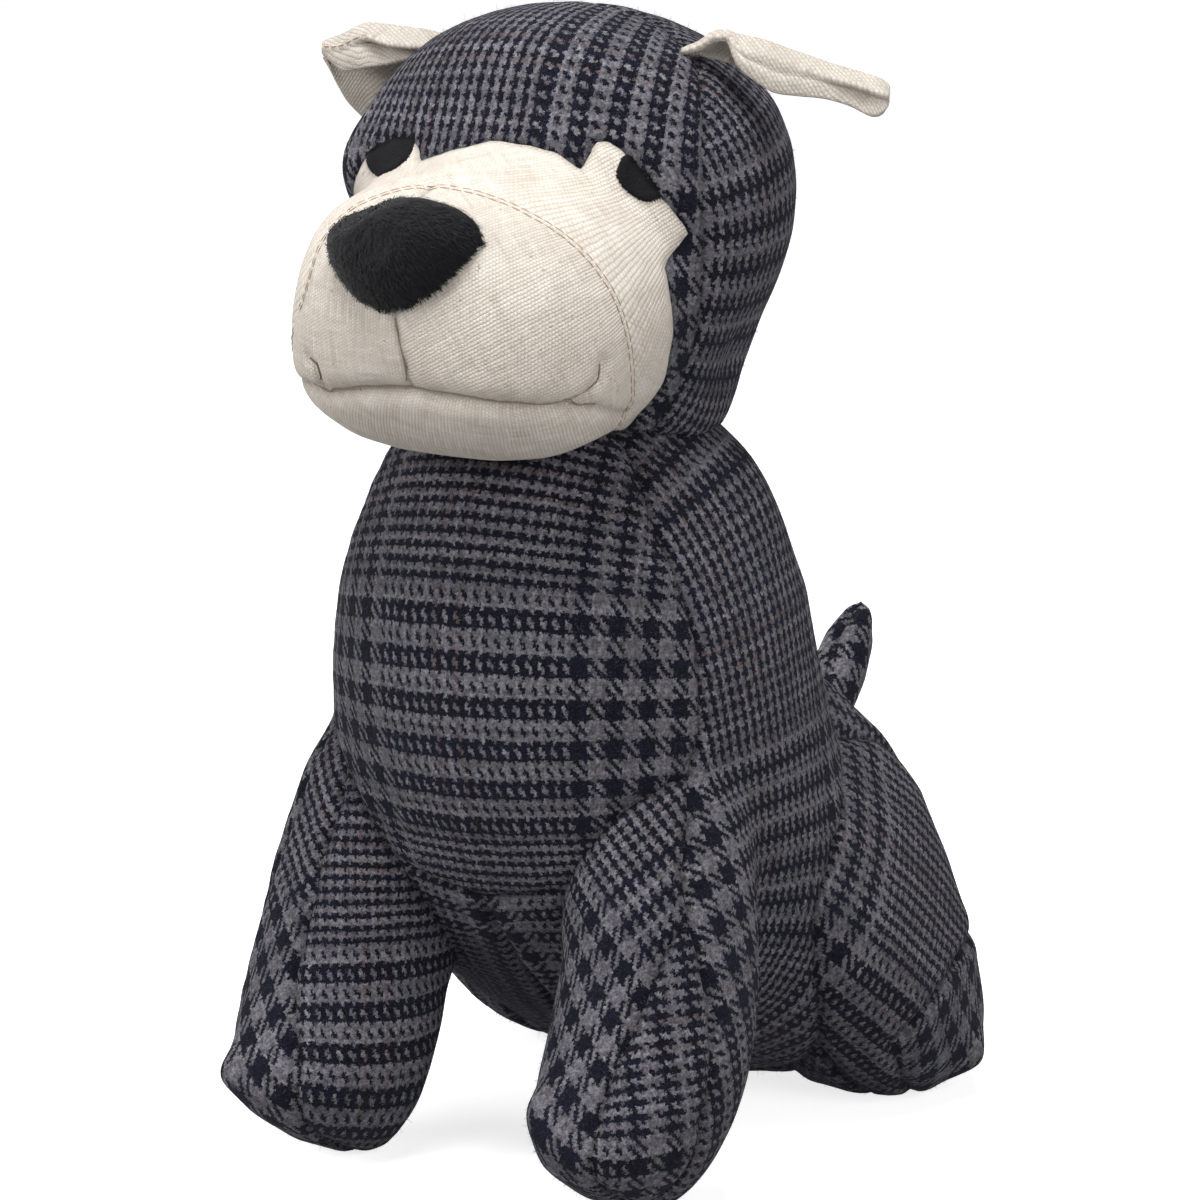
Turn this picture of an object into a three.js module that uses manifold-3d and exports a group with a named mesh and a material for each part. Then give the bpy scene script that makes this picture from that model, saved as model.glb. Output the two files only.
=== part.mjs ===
// A seated dog door stop: a sewn wool cover over stuffing, with a sand bag low in the body.
// Millimetres. The dog looks along -Y, its left side is +X, +Z is up and the floor is z = 0.
import * as THREE from "three";
import { mergeVertices } from "three/addons/utils/BufferGeometryUtils.js";
import Module from "manifold-3d";

const wasm = await Module();
wasm.setup();

// Cloth, gaps and facets
const clothThickness = 1.6;
const seamGap = 0.3;
const facets = 24;
const legFacets = 18;
const tailFacets = 14;
const torsoSteps = 16;
const headSteps = 13;
const muzzleSteps = 11;
const legSteps = 11;
const tailSteps = 9;
const domeSteps = 8;
const reach = 400;

// Torso
const torsoHeight = 192;
const torsoWidth = 134;
const torsoDepth = 140;
const torsoSections = [
  { up: 0, back: 70, width: 0.3, depth: 0.26, tilt: 0 },
  { up: 0.02, back: 64, width: 0.5, depth: 0.44, tilt: 3 },
  { up: 0.075, back: 46, width: 0.74, depth: 0.74, tilt: 9 },
  { up: 0.16, back: 28, width: 0.88, depth: 0.95, tilt: 14 },
  { up: 0.3, back: 11, width: 0.93, depth: 1.02, tilt: 12 },
  { up: 0.46, back: -4, width: 0.95, depth: 0.96, tilt: 6 },
  { up: 0.62, back: -13, width: 0.92, depth: 0.9, tilt: 2 },
  { up: 0.77, back: -16, width: 0.86, depth: 0.83, tilt: 0 },
  { up: 0.88, back: -19, width: 0.73, depth: 0.69, tilt: 0 },
  { up: 0.95, back: -20, width: 0.62, depth: 0.58, tilt: 0 },
  { up: 1, back: -20, width: 0.48, depth: 0.44, tilt: 0 },
];
const chestSeamForward = 48;
const bellySeamForward = 10;
const bellySeamHeight = 50;
const baseSeamHeight = 9;

// Base and weight
const sandBagHeight = 84;
const sandBagBack = 24;
const sandBagClearance = 0.8;
const pocketDrop = 19;
const stuffingBeside = 17;
const stuffingInFront = 28;
const sandBagWidth = torsoWidth - 2 * stuffingBeside;
const sandBagDepth = torsoDepth - 2 * stuffingInFront;
const sandBagSections = [
  { up: 0, back: 46, size: 0.34 },
  { up: 0.15, back: 32, size: 0.7 },
  { up: 0.45, back: 12, size: 1 },
  { up: 0.75, back: 0, size: 0.96 },
  { up: 0.93, back: -4, size: 0.66 },
  { up: 1, back: -5, size: 0.25 },
];

// Head
const headWidth = 112;
const headDepth = 100;
const headHeight = 112;
const headBack = -16;
const headSink = 14;
const headSections = [
  { up: 0, width: 0.6, front: 0.54, rear: 0.6 },
  { up: 0.1, width: 0.75, front: 0.7, rear: 0.72 },
  { up: 0.3, width: 0.91, front: 0.76, rear: 0.89 },
  { up: 0.5, width: 1, front: 0.76, rear: 1.04 },
  { up: 0.66, width: 1.01, front: 0.77, rear: 1.04 },
  { up: 0.8, width: 0.91, front: 0.68, rear: 0.93 },
  { up: 0.91, width: 0.67, front: 0.58, rear: 0.7 },
  { up: 0.975, width: 0.38, front: 0.4, rear: 0.4 },
  { up: 1, width: 0.12, front: 0.14, rear: 0.12 },
];

// Muzzle, measured forward from the middle of the head
const muzzleWidth = 95;
const muzzleHeight = 72;
const muzzleLength = 82;
const muzzleRise = 45;
const jowlSquare = 2.7;
const muzzleSections = [
  { out: 0, width: 0.86, high: 1.06, low: 0.84, lift: 2 },
  { out: 0.3, width: 0.97, high: 1.09, low: 0.96, lift: 0 },
  { out: 0.55, width: 1, high: 1.04, low: 1, lift: -2 },
  { out: 0.74, width: 0.93, high: 0.94, low: 0.94, lift: -2 },
  { out: 0.88, width: 0.74, high: 0.77, low: 0.74, lift: -2 },
  { out: 0.96, width: 0.5, high: 0.54, low: 0.48, lift: -1 },
  { out: 1, width: 0.16, high: 0.16, low: 0.14, lift: -1 },
];

const noseWidth = 46;
const noseHeight = 32;
const noseThickness = 15;
const noseForward = 73;
const noseRise = 62;
const noseLean = 0.25;
const noseTaper = 0.22;
const noseLowShare = 0.58;
const eyeWidth = 11.5;
const eyeHeight = 12.5;
const eyeProud = 1;
const eyeSpread = 29;
const eyeForward = 16;
const eyeRise = 72;
const eyeTurn = 0.6;
const eyeLift = 0.25;

// Front and hind legs, for the dog's left side
const frontLegSpread = 45;
const frontLegForward = 50;
const frontLegHeight = 124;
const frontLegWidth = 50;
const frontLegDepth = 54;
const frontLegTurn = 6;
const frontLegSections = [
  { up: 0, in: 2, back: -4, width: 0.32, front: 0.22, rear: 0.16 },
  { up: 0.03, in: 2, back: -5, width: 0.54, front: 0.46, rear: 0.34 },
  { up: 0.1, in: 2, back: -7, width: 0.84, front: 0.98, rear: 0.54 },
  { up: 0.19, in: 1, back: -6, width: 1, front: 1.2, rear: 0.76 },
  { up: 0.31, in: 0, back: -2, width: 1.04, front: 1.04, rear: 0.94 },
  { up: 0.48, in: 0, back: 3, width: 0.98, front: 0.88, rear: 0.96 },
  { up: 0.68, in: 3, back: 8, width: 0.94, front: 0.78, rear: 0.9 },
  { up: 0.87, in: 8, back: 15, width: 0.84, front: 0.7, rear: 0.8 },
  { up: 1, in: 14, back: 24, width: 0.5, front: 0.5, rear: 0.5 },
];
const hindLegSpread = 45;
const hindLegBack = 64;
const hindLegHeight = 120;
const hindLegWidth = 52;
const hindLegDepth = 56;
const hindLegTurn = 12;
const haunchSquare = 2.8;
const hindLegSections = [
  { up: 0, in: 0, back: 2, width: 0.5, front: 0.5, rear: 0.56 },
  { up: 0.035, in: 0, back: 1, width: 0.78, front: 0.8, rear: 0.84 },
  { up: 0.1, in: 0, back: 0, width: 1.02, front: 1.16, rear: 1 },
  { up: 0.18, in: 0, back: 0, width: 1.06, front: 1.5, rear: 1.02 },
  { up: 0.32, in: 2, back: -3, width: 1.06, front: 1.95, rear: 1.02 },
  { up: 0.5, in: 5, back: -9, width: 1.04, front: 2.15, rear: 1 },
  { up: 0.7, in: 11, back: -16, width: 0.98, front: 2.05, rear: 0.95 },
  { up: 0.88, in: 20, back: -23, width: 0.74, front: 1.5, rear: 0.8 },
  { up: 1, in: 27, back: -30, width: 0.36, front: 0.7, rear: 0.4 },
];

// Tail
const tailDiameter = 18;
const tailRise = 78;
const tailReach = 54;
const tailRoot = 79;
const tailLift = 34;
const tailTaper = 0.15;
const tailTip = 0.75;
const tailPath = [
  { out: 0.1, lift: 0 },
  { out: 0.6, lift: 0.25 },
  { out: 1, lift: 1 },
];

// Ears
const earCloth = 2;
const earRise = 100;
const earSlant = 0.55;
const leftEar = {
  side: 1,
  root: [34, -3, 6],
  tip: [88, 1, -2],
  backDrop: [14, 6],
  frontDrop: [12, 5],
  fold: [3.2, 2.4],
};
const rightEar = {
  side: -1,
  root: [32, -5, 4],
  tip: [70, -9, 3],
  backDrop: [24, 15],
  frontDrop: [5, 4],
  fold: [3.4, 2.6],
};

const colours = {
  plaid: 0x3a3a42,
  linen: 0xe3dccf,
  fleece: 0x151515,
  thread: 0x17171a,
  filling: 0xe9e7e2,
  sack: 0xb9aa8a,
};

// Interpolates a list of records smoothly: t runs from 0 to 1 over the whole list.
function between(list, key, t) {
  const at = Math.min(t * (list.length - 1), list.length - 1.000001);
  const i = Math.floor(at);
  const f = at - i;
  const value = (k) => list[Math.min(Math.max(k, 0), list.length - 1)][key];
  const [a, b, c, d] = [value(i - 1), value(i), value(i + 1), value(i + 2)];
  const slopeIn = (c - a) / 2;
  const slopeOut = (d - b) / 2;
  const f2 = f * f;
  const f3 = f2 * f;
  return (
    (2 * f3 - 3 * f2 + 1) * b +
    (f3 - 2 * f2 + f) * slopeIn +
    (3 * f2 - 2 * f3) * c +
    (f3 - f2) * slopeOut
  );
}

// One closed ring of points: across and along are unit vectors, front is the half size against along.
// A square above 2 fills out the corners of the half on the front side.
function ring({ centre, across, along, half, front, rear, count, square = 2 }) {
  const points = [];
  for (let i = 0; i < count; i += 1) {
    const angle = (2 * Math.PI * i) / count;
    const inFront = Math.sin(angle) < 0;
    const side = inFront ? front : rear;
    const sum = Math.abs(Math.cos(angle)) ** square + Math.abs(Math.sin(angle)) ** square;
    const fuller = inFront ? sum ** (-1 / square) : 1;
    points.push(
      centre
        .clone()
        .addScaledVector(across, fuller * half * Math.cos(angle))
        .addScaledVector(along, fuller * side * Math.sin(angle)),
    );
  }
  return points;
}

// A closed solid through a stack of rings, with a cap at both ends.
function loft(rings) {
  const count = rings[0].length;
  const middle = (points) =>
    points
      .reduce((sum, p) => sum.add(p), new THREE.Vector3())
      .divideScalar(points.length);
  const vertices = [...rings.flat(), middle(rings[0]), middle(rings.at(-1))];
  const bottom = rings.length * count;
  const top = bottom + 1;
  const faces = [];
  for (let r = 0; r + 1 < rings.length; r += 1) {
    for (let i = 0; i < count; i += 1) {
      const next = (i + 1) % count;
      const [a, b] = [r * count + i, r * count + next];
      faces.push(a, b, b + count, a, b + count, a + count);
    }
  }
  const last = (rings.length - 1) * count;
  for (let i = 0; i < count; i += 1) {
    const next = (i + 1) % count;
    faces.push(bottom, next, i);
    faces.push(top, last + i, last + next);
  }
  return indexed(vertices, faces);
}

// The same closed surface, each corner moved inwards by inset along its own normal.
function drawnIn(geometry, inset) {
  geometry.computeVertexNormals();
  const position = geometry.attributes.position;
  const normal = geometry.attributes.normal;
  for (let i = 0; i < position.count; i += 1) {
    position.setXYZ(
      i,
      position.getX(i) - inset * normal.getX(i),
      position.getY(i) - inset * normal.getY(i),
      position.getZ(i) - inset * normal.getZ(i),
    );
  }
  return geometry;
}

function indexed(vertices, faces) {
  const geometry = new THREE.BufferGeometry();
  geometry.setFromPoints(vertices);
  geometry.setIndex(faces);
  return geometry;
}

function solid(geometry) {
  const bare = geometry.clone();
  bare.deleteAttribute("normal");
  bare.deleteAttribute("uv");
  const merged = mergeVertices(bare, 1e-4);
  return new wasm.Manifold(
    new wasm.Mesh({
      numProp: 3,
      vertProperties: new Float32Array(merged.attributes.position.array),
      triVerts: new Uint32Array(merged.index.array),
    }),
  );
}

function geometryOf(body) {
  const mesh = body.getMesh();
  const geometry = new THREE.BufferGeometry();
  geometry.setAttribute(
    "position",
    new THREE.BufferAttribute(mesh.vertProperties, 3),
  );
  geometry.setIndex(new THREE.BufferAttribute(mesh.triVerts, 1));
  return geometry;
}

const vector = (x, y, z) => new THREE.Vector3(x, y, z);
const X = vector(1, 0, 0);
const Z = vector(0, 0, 1);

// The torso, drawn in by inset all round.
function torso(inset) {
  const rings = [];
  for (let s = 0; s <= torsoSteps; s += 1) {
    const t = s / torsoSteps;
    const get = (key) => between(torsoSections, key, t);
    const tilt = THREE.MathUtils.degToRad(get("tilt"));
    rings.push(
      ring({
        centre: vector(0, get("back"), get("up") * torsoHeight),
        across: X,
        along: vector(0, Math.cos(tilt), -Math.sin(tilt)),
        half: (get("width") * torsoWidth) / 2,
        front: (get("depth") * torsoDepth) / 2,
        rear: (get("depth") * torsoDepth) / 2,
        count: facets,
      }),
    );
  }
  return solid(drawnIn(loft(rings), inset));
}

const headBase = torsoHeight - headSink;

function skull(inset) {
  const rings = [];
  for (let s = 0; s <= headSteps; s += 1) {
    const t = s / headSteps;
    const get = (key) => between(headSections, key, t);
    rings.push(
      ring({
        centre: vector(0, headBack, headBase + get("up") * headHeight),
        across: X,
        along: vector(0, 1, 0),
        half: (get("width") * headWidth) / 2,
        front: (get("front") * headDepth) / 2,
        rear: (get("rear") * headDepth) / 2,
        count: facets,
      }),
    );
  }
  return solid(drawnIn(loft(rings), inset));
}

function muzzle(inset) {
  const rings = [];
  for (let s = 0; s <= muzzleSteps; s += 1) {
    const t = s / muzzleSteps;
    const get = (key) => between(muzzleSections, key, t);
    const out = get("out") * muzzleLength;
    rings.push(
      ring({
        centre: vector(0, headBack - out, headBase + muzzleRise + get("lift")),
        across: X,
        along: Z,
        half: (get("width") * muzzleWidth) / 2,
        front: (get("low") * muzzleHeight) / 2,
        rear: (get("high") * muzzleHeight) / 2,
        count: facets,
        square: jowlSquare,
      }),
    );
  }
  return solid(drawnIn(loft(rings), inset));
}

const headForm = (inset) => skull(inset).add(muzzle(inset));

// A prism through the whole part along X, from an outline of [y, z] points seen from the side.
function sidePrism(outline, fromX = -reach, toX = reach) {
  const shape = new THREE.Shape(outline.map(([y, z]) => new THREE.Vector2(y, z)));
  const geometry = new THREE.ExtrudeGeometry(shape, {
    depth: toX - fromX,
    bevelEnabled: false,
  });
  geometry.applyMatrix4(
    new THREE.Matrix4().makeBasis(vector(0, 1, 0), vector(0, 0, 1), X),
  );
  geometry.translate(fromX, 0, 0);
  return solid(geometry);
}

// A thin slot of one seam gap along a line of [y, z] points seen from the side.
function sideSlot(line) {
  const points = line.map(([y, z]) => new THREE.Vector2(y, z));
  const offset = (sign) =>
    points.map((p, i) => {
      const before = points[Math.max(i - 1, 0)];
      const after = points[Math.min(i + 1, points.length - 1)];
      const along = after.clone().sub(before).normalize();
      return [
        p.x - (sign * along.y * seamGap) / 2,
        p.y + (sign * along.x * seamGap) / 2,
      ];
    });
  return sidePrism([...offset(1), ...offset(-1).reverse()]);
}

const centreSlot = sidePrism(
  [
    [-reach, -reach],
    [reach, -reach],
    [reach, reach],
    [-reach, reach],
  ],
  -seamGap / 2,
  seamGap / 2,
);

const halfSpace = (side) =>
  sidePrism(
    [
      [-reach, -reach],
      [reach, -reach],
      [reach, reach],
      [-reach, reach],
    ],
    side > 0 ? 0 : -reach,
    side > 0 ? reach : 0,
  );

// A stuffed leg of the left side, closed at both ends.
function leg({ sections, spread, back, height, width, depth, turn, square }) {
  const angle = THREE.MathUtils.degToRad(turn);
  const rings = [];
  for (let s = 0; s <= legSteps; s += 1) {
    const t = s / legSteps;
    const get = (key) => between(sections, key, t);
    rings.push(
      ring({
        centre: vector(spread - get("in"), back + get("back"), get("up") * height),
        across: vector(Math.cos(angle), Math.sin(angle), 0),
        along: vector(-Math.sin(angle), Math.cos(angle), 0),
        half: (get("width") * width) / 2,
        front: (get("front") * depth) / 2,
        rear: (get("rear") * depth) / 2,
        count: legFacets,
        square,
      }),
    );
  }
  return solid(loft(rings));
}

// The same body on the other side of the plane x = 0.
function mirrored(body) {
  const geometry = geometryOf(body);
  const position = geometry.attributes.position;
  for (let i = 0; i < position.count; i += 1) {
    position.setX(i, -position.getX(i));
  }
  const index = geometry.index.array;
  for (let i = 0; i < index.length; i += 3) {
    [index[i + 1], index[i + 2]] = [index[i + 2], index[i + 1]];
  }
  return solid(geometry);
}

// An ellipsoid whose section narrows or widens towards its top, with its pole along the normal.
function dome({ centre, across, along, half, low, high, thick, taper }) {
  const normal = across.clone().cross(along);
  const rings = [];
  for (let s = 1; s < domeSteps; s += 1) {
    const angle = (Math.PI * s) / domeSteps;
    const scale = Math.sin(angle);
    const points = [];
    for (let i = 0; i < legFacets; i += 1) {
      const turn = (2 * Math.PI * i) / legFacets;
      const rise = Math.sin(turn);
      const wide = half * Math.cos(turn) * (1 + taper * rise);
      points.push(
        centre
          .clone()
          .addScaledVector(across, scale * wide)
          .addScaledVector(along, scale * (rise < 0 ? low : high) * rise)
          .addScaledVector(normal, -thick * Math.cos(angle)),
      );
    }
    rings.push(points);
  }
  return solid(loft(rings));
}

// A sheet of even thickness about a grid of points, closed round its border.
function sheet(grid, thickness) {
  const rows = grid.length;
  const columns = grid[0].length;
  const normalAt = (r, c) => {
    const down = grid[Math.min(r + 1, rows - 1)][c]
      .clone()
      .sub(grid[Math.max(r - 1, 0)][c]);
    const over = grid[r][Math.min(c + 1, columns - 1)]
      .clone()
      .sub(grid[r][Math.max(c - 1, 0)]);
    return down.cross(over).normalize();
  };
  const vertices = [];
  for (const sign of [1, -1]) {
    for (let r = 0; r < rows; r += 1) {
      for (let c = 0; c < columns; c += 1) {
        const offset = (sign * thickness) / 2;
        vertices.push(grid[r][c].clone().addScaledVector(normalAt(r, c), offset));
      }
    }
  }
  const layer = rows * columns;
  const at = (r, c) => r * columns + c;
  const faces = [];
  for (let r = 0; r + 1 < rows; r += 1) {
    for (let c = 0; c + 1 < columns; c += 1) {
      const [a, b, d, e] = [at(r, c), at(r, c + 1), at(r + 1, c + 1), at(r + 1, c)];
      faces.push(a, e, d, a, d, b);
      faces.push(layer + a, layer + d, layer + e, layer + a, layer + b, layer + d);
    }
  }
  const border = [];
  for (let c = 0; c + 1 < columns; c += 1) border.push(at(0, c));
  for (let r = 0; r + 1 < rows; r += 1) border.push(at(r, columns - 1));
  for (let c = columns - 1; c > 0; c -= 1) border.push(at(rows - 1, c));
  for (let r = rows - 1; r > 0; r -= 1) border.push(at(r, 0));
  border.forEach((a, i) => {
    const b = border[(i + 1) % border.length];
    faces.push(a, b, layer + b, a, layer + b, layer + a);
  });
  return solid(indexed(vertices, faces));
}

// The part's own origin is the middle of the flat patch under the rump.
const group = new THREE.Group();
group.position.set(0, -torsoSections[0].back, 0);

function addPiece(name, body, colour, roughness) {
  const material = new THREE.MeshStandardMaterial({
    color: colour,
    roughness,
    metalness: 0,
  });
  const mesh = new THREE.Mesh(geometryOf(body), material);
  mesh.name = name;
  group.add(mesh);
}

// Torso: stuffing with a pocket for the sand bag, and the cover in its sewn panels
const torsoClear = torso(-seamGap);
const torsoSkin = torso(0).subtract(torso(clothThickness));
const innerFloor = clothThickness + seamGap;

function sandBag(grow, floor) {
  const rings = sandBagSections.map(({ up, back, size }) => {
    const level = up > 0 ? innerFloor + up * sandBagHeight : floor;
    return ring({
      centre: vector(0, sandBagBack + back, level + (up < 1 ? 0 : grow)),
      across: X,
      along: vector(0, 1, 0),
      half: (size * sandBagWidth) / 2 + grow,
      front: (size * sandBagDepth) / 2 + grow,
      rear: (size * sandBagDepth) / 2 + grow,
      count: legFacets,
    });
  });
  return solid(loft(rings));
}

const sandPocket = sandBag(sandBagClearance, -pocketDrop);
addPiece(
  "body_stuffing",
  torso(innerFloor).subtract(sandPocket),
  colours.filling,
  0.95,
);
addPiece("sand_bag", sandBag(0, innerFloor), colours.sack, 0.9);

const baseSeam = [
  [-reach, baseSeamHeight],
  [reach, baseSeamHeight],
];
const chestSeam = [
  [-chestSeamForward, reach],
  [-chestSeamForward, bellySeamHeight],
  [-bellySeamForward, baseSeamHeight],
];
const aboveBase = torsoSkin.subtract(sideSlot(baseSeam));
const baseRegion = sidePrism([...baseSeam, [reach, -reach], [-reach, -reach]]);
const chestRegion = sidePrism([
  ...chestSeam,
  [-reach, baseSeamHeight],
  [-reach, reach],
]);
addPiece(
  "base_panel",
  aboveBase.intersect(baseRegion).subtract(sandPocket.subtract(baseRegion)),
  colours.plaid,
  0.95,
);
const walls = aboveBase.subtract(baseRegion).subtract(sideSlot(chestSeam));
addPiece("chest_panel", walls.intersect(chestRegion), colours.plaid, 0.95);
const flanks = walls.subtract(chestRegion).subtract(centreSlot);
addPiece("side_panel_left", flanks.intersect(halfSpace(1)), colours.plaid, 0.95);
addPiece("side_panel_right", flanks.intersect(halfSpace(-1)), colours.plaid, 0.95);

// Legs and tail, seated on the torso
const frontLeg = leg({
  sections: frontLegSections,
  spread: frontLegSpread,
  back: -frontLegForward,
  height: frontLegHeight,
  width: frontLegWidth,
  depth: frontLegDepth,
  turn: frontLegTurn,
  square: 2,
}).subtract(torsoClear);
const hindLeg = leg({
  sections: hindLegSections,
  spread: hindLegSpread,
  back: hindLegBack,
  height: hindLegHeight,
  width: hindLegWidth,
  depth: hindLegDepth,
  turn: hindLegTurn,
  square: haunchSquare,
}).subtract(torsoClear);
addPiece("front_leg_left", frontLeg, colours.plaid, 0.95);
addPiece("front_leg_right", mirrored(frontLeg), colours.plaid, 0.95);
addPiece("hind_leg_left", hindLeg, colours.plaid, 0.95);
addPiece("hind_leg_right", mirrored(hindLeg), colours.plaid, 0.95);

function tailForm() {
  const path = new THREE.CatmullRomCurve3([
    vector(0, tailRoot - tailDiameter, tailRise - tailDiameter / 5),
    ...tailPath.map(({ out, lift }) =>
      vector(0, tailRoot + out * tailReach, tailRise + lift * tailLift),
    ),
  ]);
  const rings = [];
  for (let s = 0; s <= tailSteps; s += 1) {
    const t = s / tailSteps;
    const centre = path.getPoint(t);
    const along = path.getTangent(t).cross(X).normalize();
    const toTip = Math.max((t - tailTip) / (1.01 - tailTip), 0);
    const half = (tailDiameter / 2) * (1 - tailTaper * t) * Math.sqrt(1 - toTip ** 2);
    rings.push(
      ring({ centre, across: X, along, half, front: half, rear: half, count: tailFacets }),
    );
  }
  return solid(loft(rings));
}
addPiece("tail", tailForm().subtract(torsoClear), colours.plaid, 0.95);

// Head: stuffing, and the cover in its sewn panels
const headClear = headForm(-seamGap);
addPiece(
  "head_stuffing",
  headForm(innerFloor).subtract(torsoClear),
  colours.filling,
  0.95,
);
const headSkin = headForm(0)
  .subtract(headForm(clothThickness))
  .subtract(torsoClear);

// Seams of the head seen from the side, as [forward of the head's middle, above its base],
// in shares of the head's depth and height
const fromHead = (line) =>
  line.map(([forward, up]) => [
    headBack - forward * headDepth,
    headBase + up * headHeight,
  ]);
const browSeam = fromHead([
  [4, 0.777],
  [0.34, 0.768],
  [0.3, 0.696],
  [0.22, 0.562],
]);
const patchSeam = fromHead([
  [0.22, 0.562],
  [0.29, 0.491],
  [0.275, 0.402],
  [0.24, 0.286],
  [0.22, 0.196],
  [0.24, 0.125],
  [0.26, -0.268],
]);
const bandSeam = fromHead([
  [0.67, 0.768],
  [0.665, 0.679],
  [0.6, 0.607],
  [0.52, 0.473],
  [0.46, 0.321],
  [0.4, 0.152],
  [0.36, -0.268],
]);
const mouthSeam = fromHead([
  [4, 0.295],
  [0.78, 0.259],
  [0.64, 0.241],
  [0.4, 0.179],
]);
const earSeam = fromHead([
  [0.17, -0.268],
  [0.17, 0.071],
  [0.165, 0.304],
  [0.185, 0.536],
  [0.185, 0.679],
  [0.14, 0.812],
  [0.02, 0.92],
  [-0.06, 1.25],
]);
const cutSkin = [
  [...browSeam, ...patchSeam.slice(1)],
  bandSeam,
  mouthSeam,
  earSeam,
].reduce((skin, line) => skin.subtract(sideSlot(line)), headSkin);

const far = fromHead([
  [4, -0.268],
  [4, 1.25],
]);
const inFrontOfEars = sidePrism([...earSeam, far[1], far[0]]);
const linenRegion = sidePrism([...browSeam, ...patchSeam.slice(1), far[0]]);
const muzzleRegion = sidePrism([browSeam[0], ...bandSeam, far[0]]);
const chinRegion = sidePrism([
  ...mouthSeam,
  ...bandSeam.slice(-2),
  far[0],
]);

addPiece(
  "crown_panel",
  cutSkin.intersect(inFrontOfEars).subtract(linenRegion),
  colours.plaid,
  0.95,
);
const rearHead = cutSkin.subtract(inFrontOfEars).subtract(centreSlot);
addPiece("head_side_left", rearHead.intersect(halfSpace(1)), colours.plaid, 0.95);
addPiece("head_side_right", rearHead.intersect(halfSpace(-1)), colours.plaid, 0.95);
addPiece(
  "face_patch",
  cutSkin.intersect(linenRegion).subtract(muzzleRegion),
  colours.linen,
  0.9,
);
const snout = cutSkin.intersect(muzzleRegion);
addPiece("chin_panel", snout.intersect(chinRegion), colours.linen, 0.9);
const lips = snout.subtract(chinRegion).subtract(centreSlot);
addPiece("muzzle_left", lips.intersect(halfSpace(1)), colours.linen, 0.9);
addPiece("muzzle_right", lips.intersect(halfSpace(-1)), colours.linen, 0.9);

// Nose and eyes, seated on the head
const nose = dome({
  centre: vector(0, headBack - noseForward, headBase + noseRise),
  across: X,
  along: vector(0, Math.sin(noseLean), Math.cos(noseLean)),
  half: noseWidth / 2,
  low: noseLowShare * noseHeight,
  high: (1 - noseLowShare) * noseHeight,
  thick: noseThickness,
  taper: noseTaper,
}).subtract(headClear);
addPiece("nose", nose, colours.fleece, 1);

function eye() {
  const facing = vector(Math.sin(eyeTurn), -Math.cos(eyeTurn), eyeLift).normalize();
  const across = Z.clone().cross(facing).normalize();
  const along = facing.clone().cross(across);
  const shape = new THREE.Shape();
  shape.absellipse(0, 0, eyeWidth / 2, eyeHeight / 2, 0, 2 * Math.PI);
  const prism = new THREE.ExtrudeGeometry(shape, {
    depth: headWidth / 2,
    bevelEnabled: false,
    curveSegments: 12,
  });
  prism.applyMatrix4(new THREE.Matrix4().makeBasis(across, along, facing));
  prism.translate(eyeSpread, headBack - eyeForward, headBase + eyeRise);
  const shell = headForm(-seamGap - eyeProud).subtract(headClear);
  return shell.intersect(solid(prism));
}
const eyeLeft = eye();
addPiece("eye_left", eyeLeft, colours.thread, 0.5);
addPiece("eye_right", mirrored(eyeLeft), colours.thread, 0.5);

// Ears: one flap of lined cloth each, folded over along its top edge
function ear({ side, root, tip, backDrop, frontDrop, fold }) {
  const at = ([out, back, up]) =>
    vector(side * out, headBack + back, headBase + earRise + up);
  const [from, to] = [at(root), at(tip)];
  const rows = 9;
  const straight = 4;
  const bends = 5;
  const grid = [];
  for (let r = 0; r < rows; r += 1) {
    const t = r / (rows - 1);
    const top = from.clone().lerp(to, t);
    const hang = vector(side * earSlant * (1 - t), 0, -1).normalize();
    const radius = THREE.MathUtils.lerp(fold[0], fold[1], t);
    const back = THREE.MathUtils.lerp(backDrop[0], backDrop[1], t);
    const front = THREE.MathUtils.lerp(frontDrop[0], frontDrop[1], t);
    const row = [];
    for (let c = 0; c < straight; c += 1) {
      const drop = back * (1 - c / straight);
      row.push(top.clone().addScaledVector(hang, drop + radius).add(vector(0, radius, 0)));
    }
    for (let c = 0; c <= bends; c += 1) {
      const angle = (Math.PI * c) / bends;
      const drop = radius * (1 - Math.sin(angle));
      const offset = vector(0, radius * Math.cos(angle), 0);
      row.push(top.clone().addScaledVector(hang, drop).add(offset));
    }
    for (let c = 1; c <= straight; c += 1) {
      const drop = (front * c) / straight;
      row.push(top.clone().addScaledVector(hang, drop + radius).add(vector(0, -radius, 0)));
    }
    grid.push(row);
  }
  const flap = sheet(grid, earCloth);
  return flap.subtract(headClear);
}

addPiece("ear_left", ear(leftEar), colours.linen, 0.9);
addPiece("ear_right", ear(rightEar), colours.linen, 0.9);

export default group;
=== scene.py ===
import math
from typing import NamedTuple

import bmesh
import bpy
import numpy as np
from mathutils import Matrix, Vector, noise
from mathutils.bvhtree import BVHTree
from mathutils.kdtree import KDTree


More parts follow.
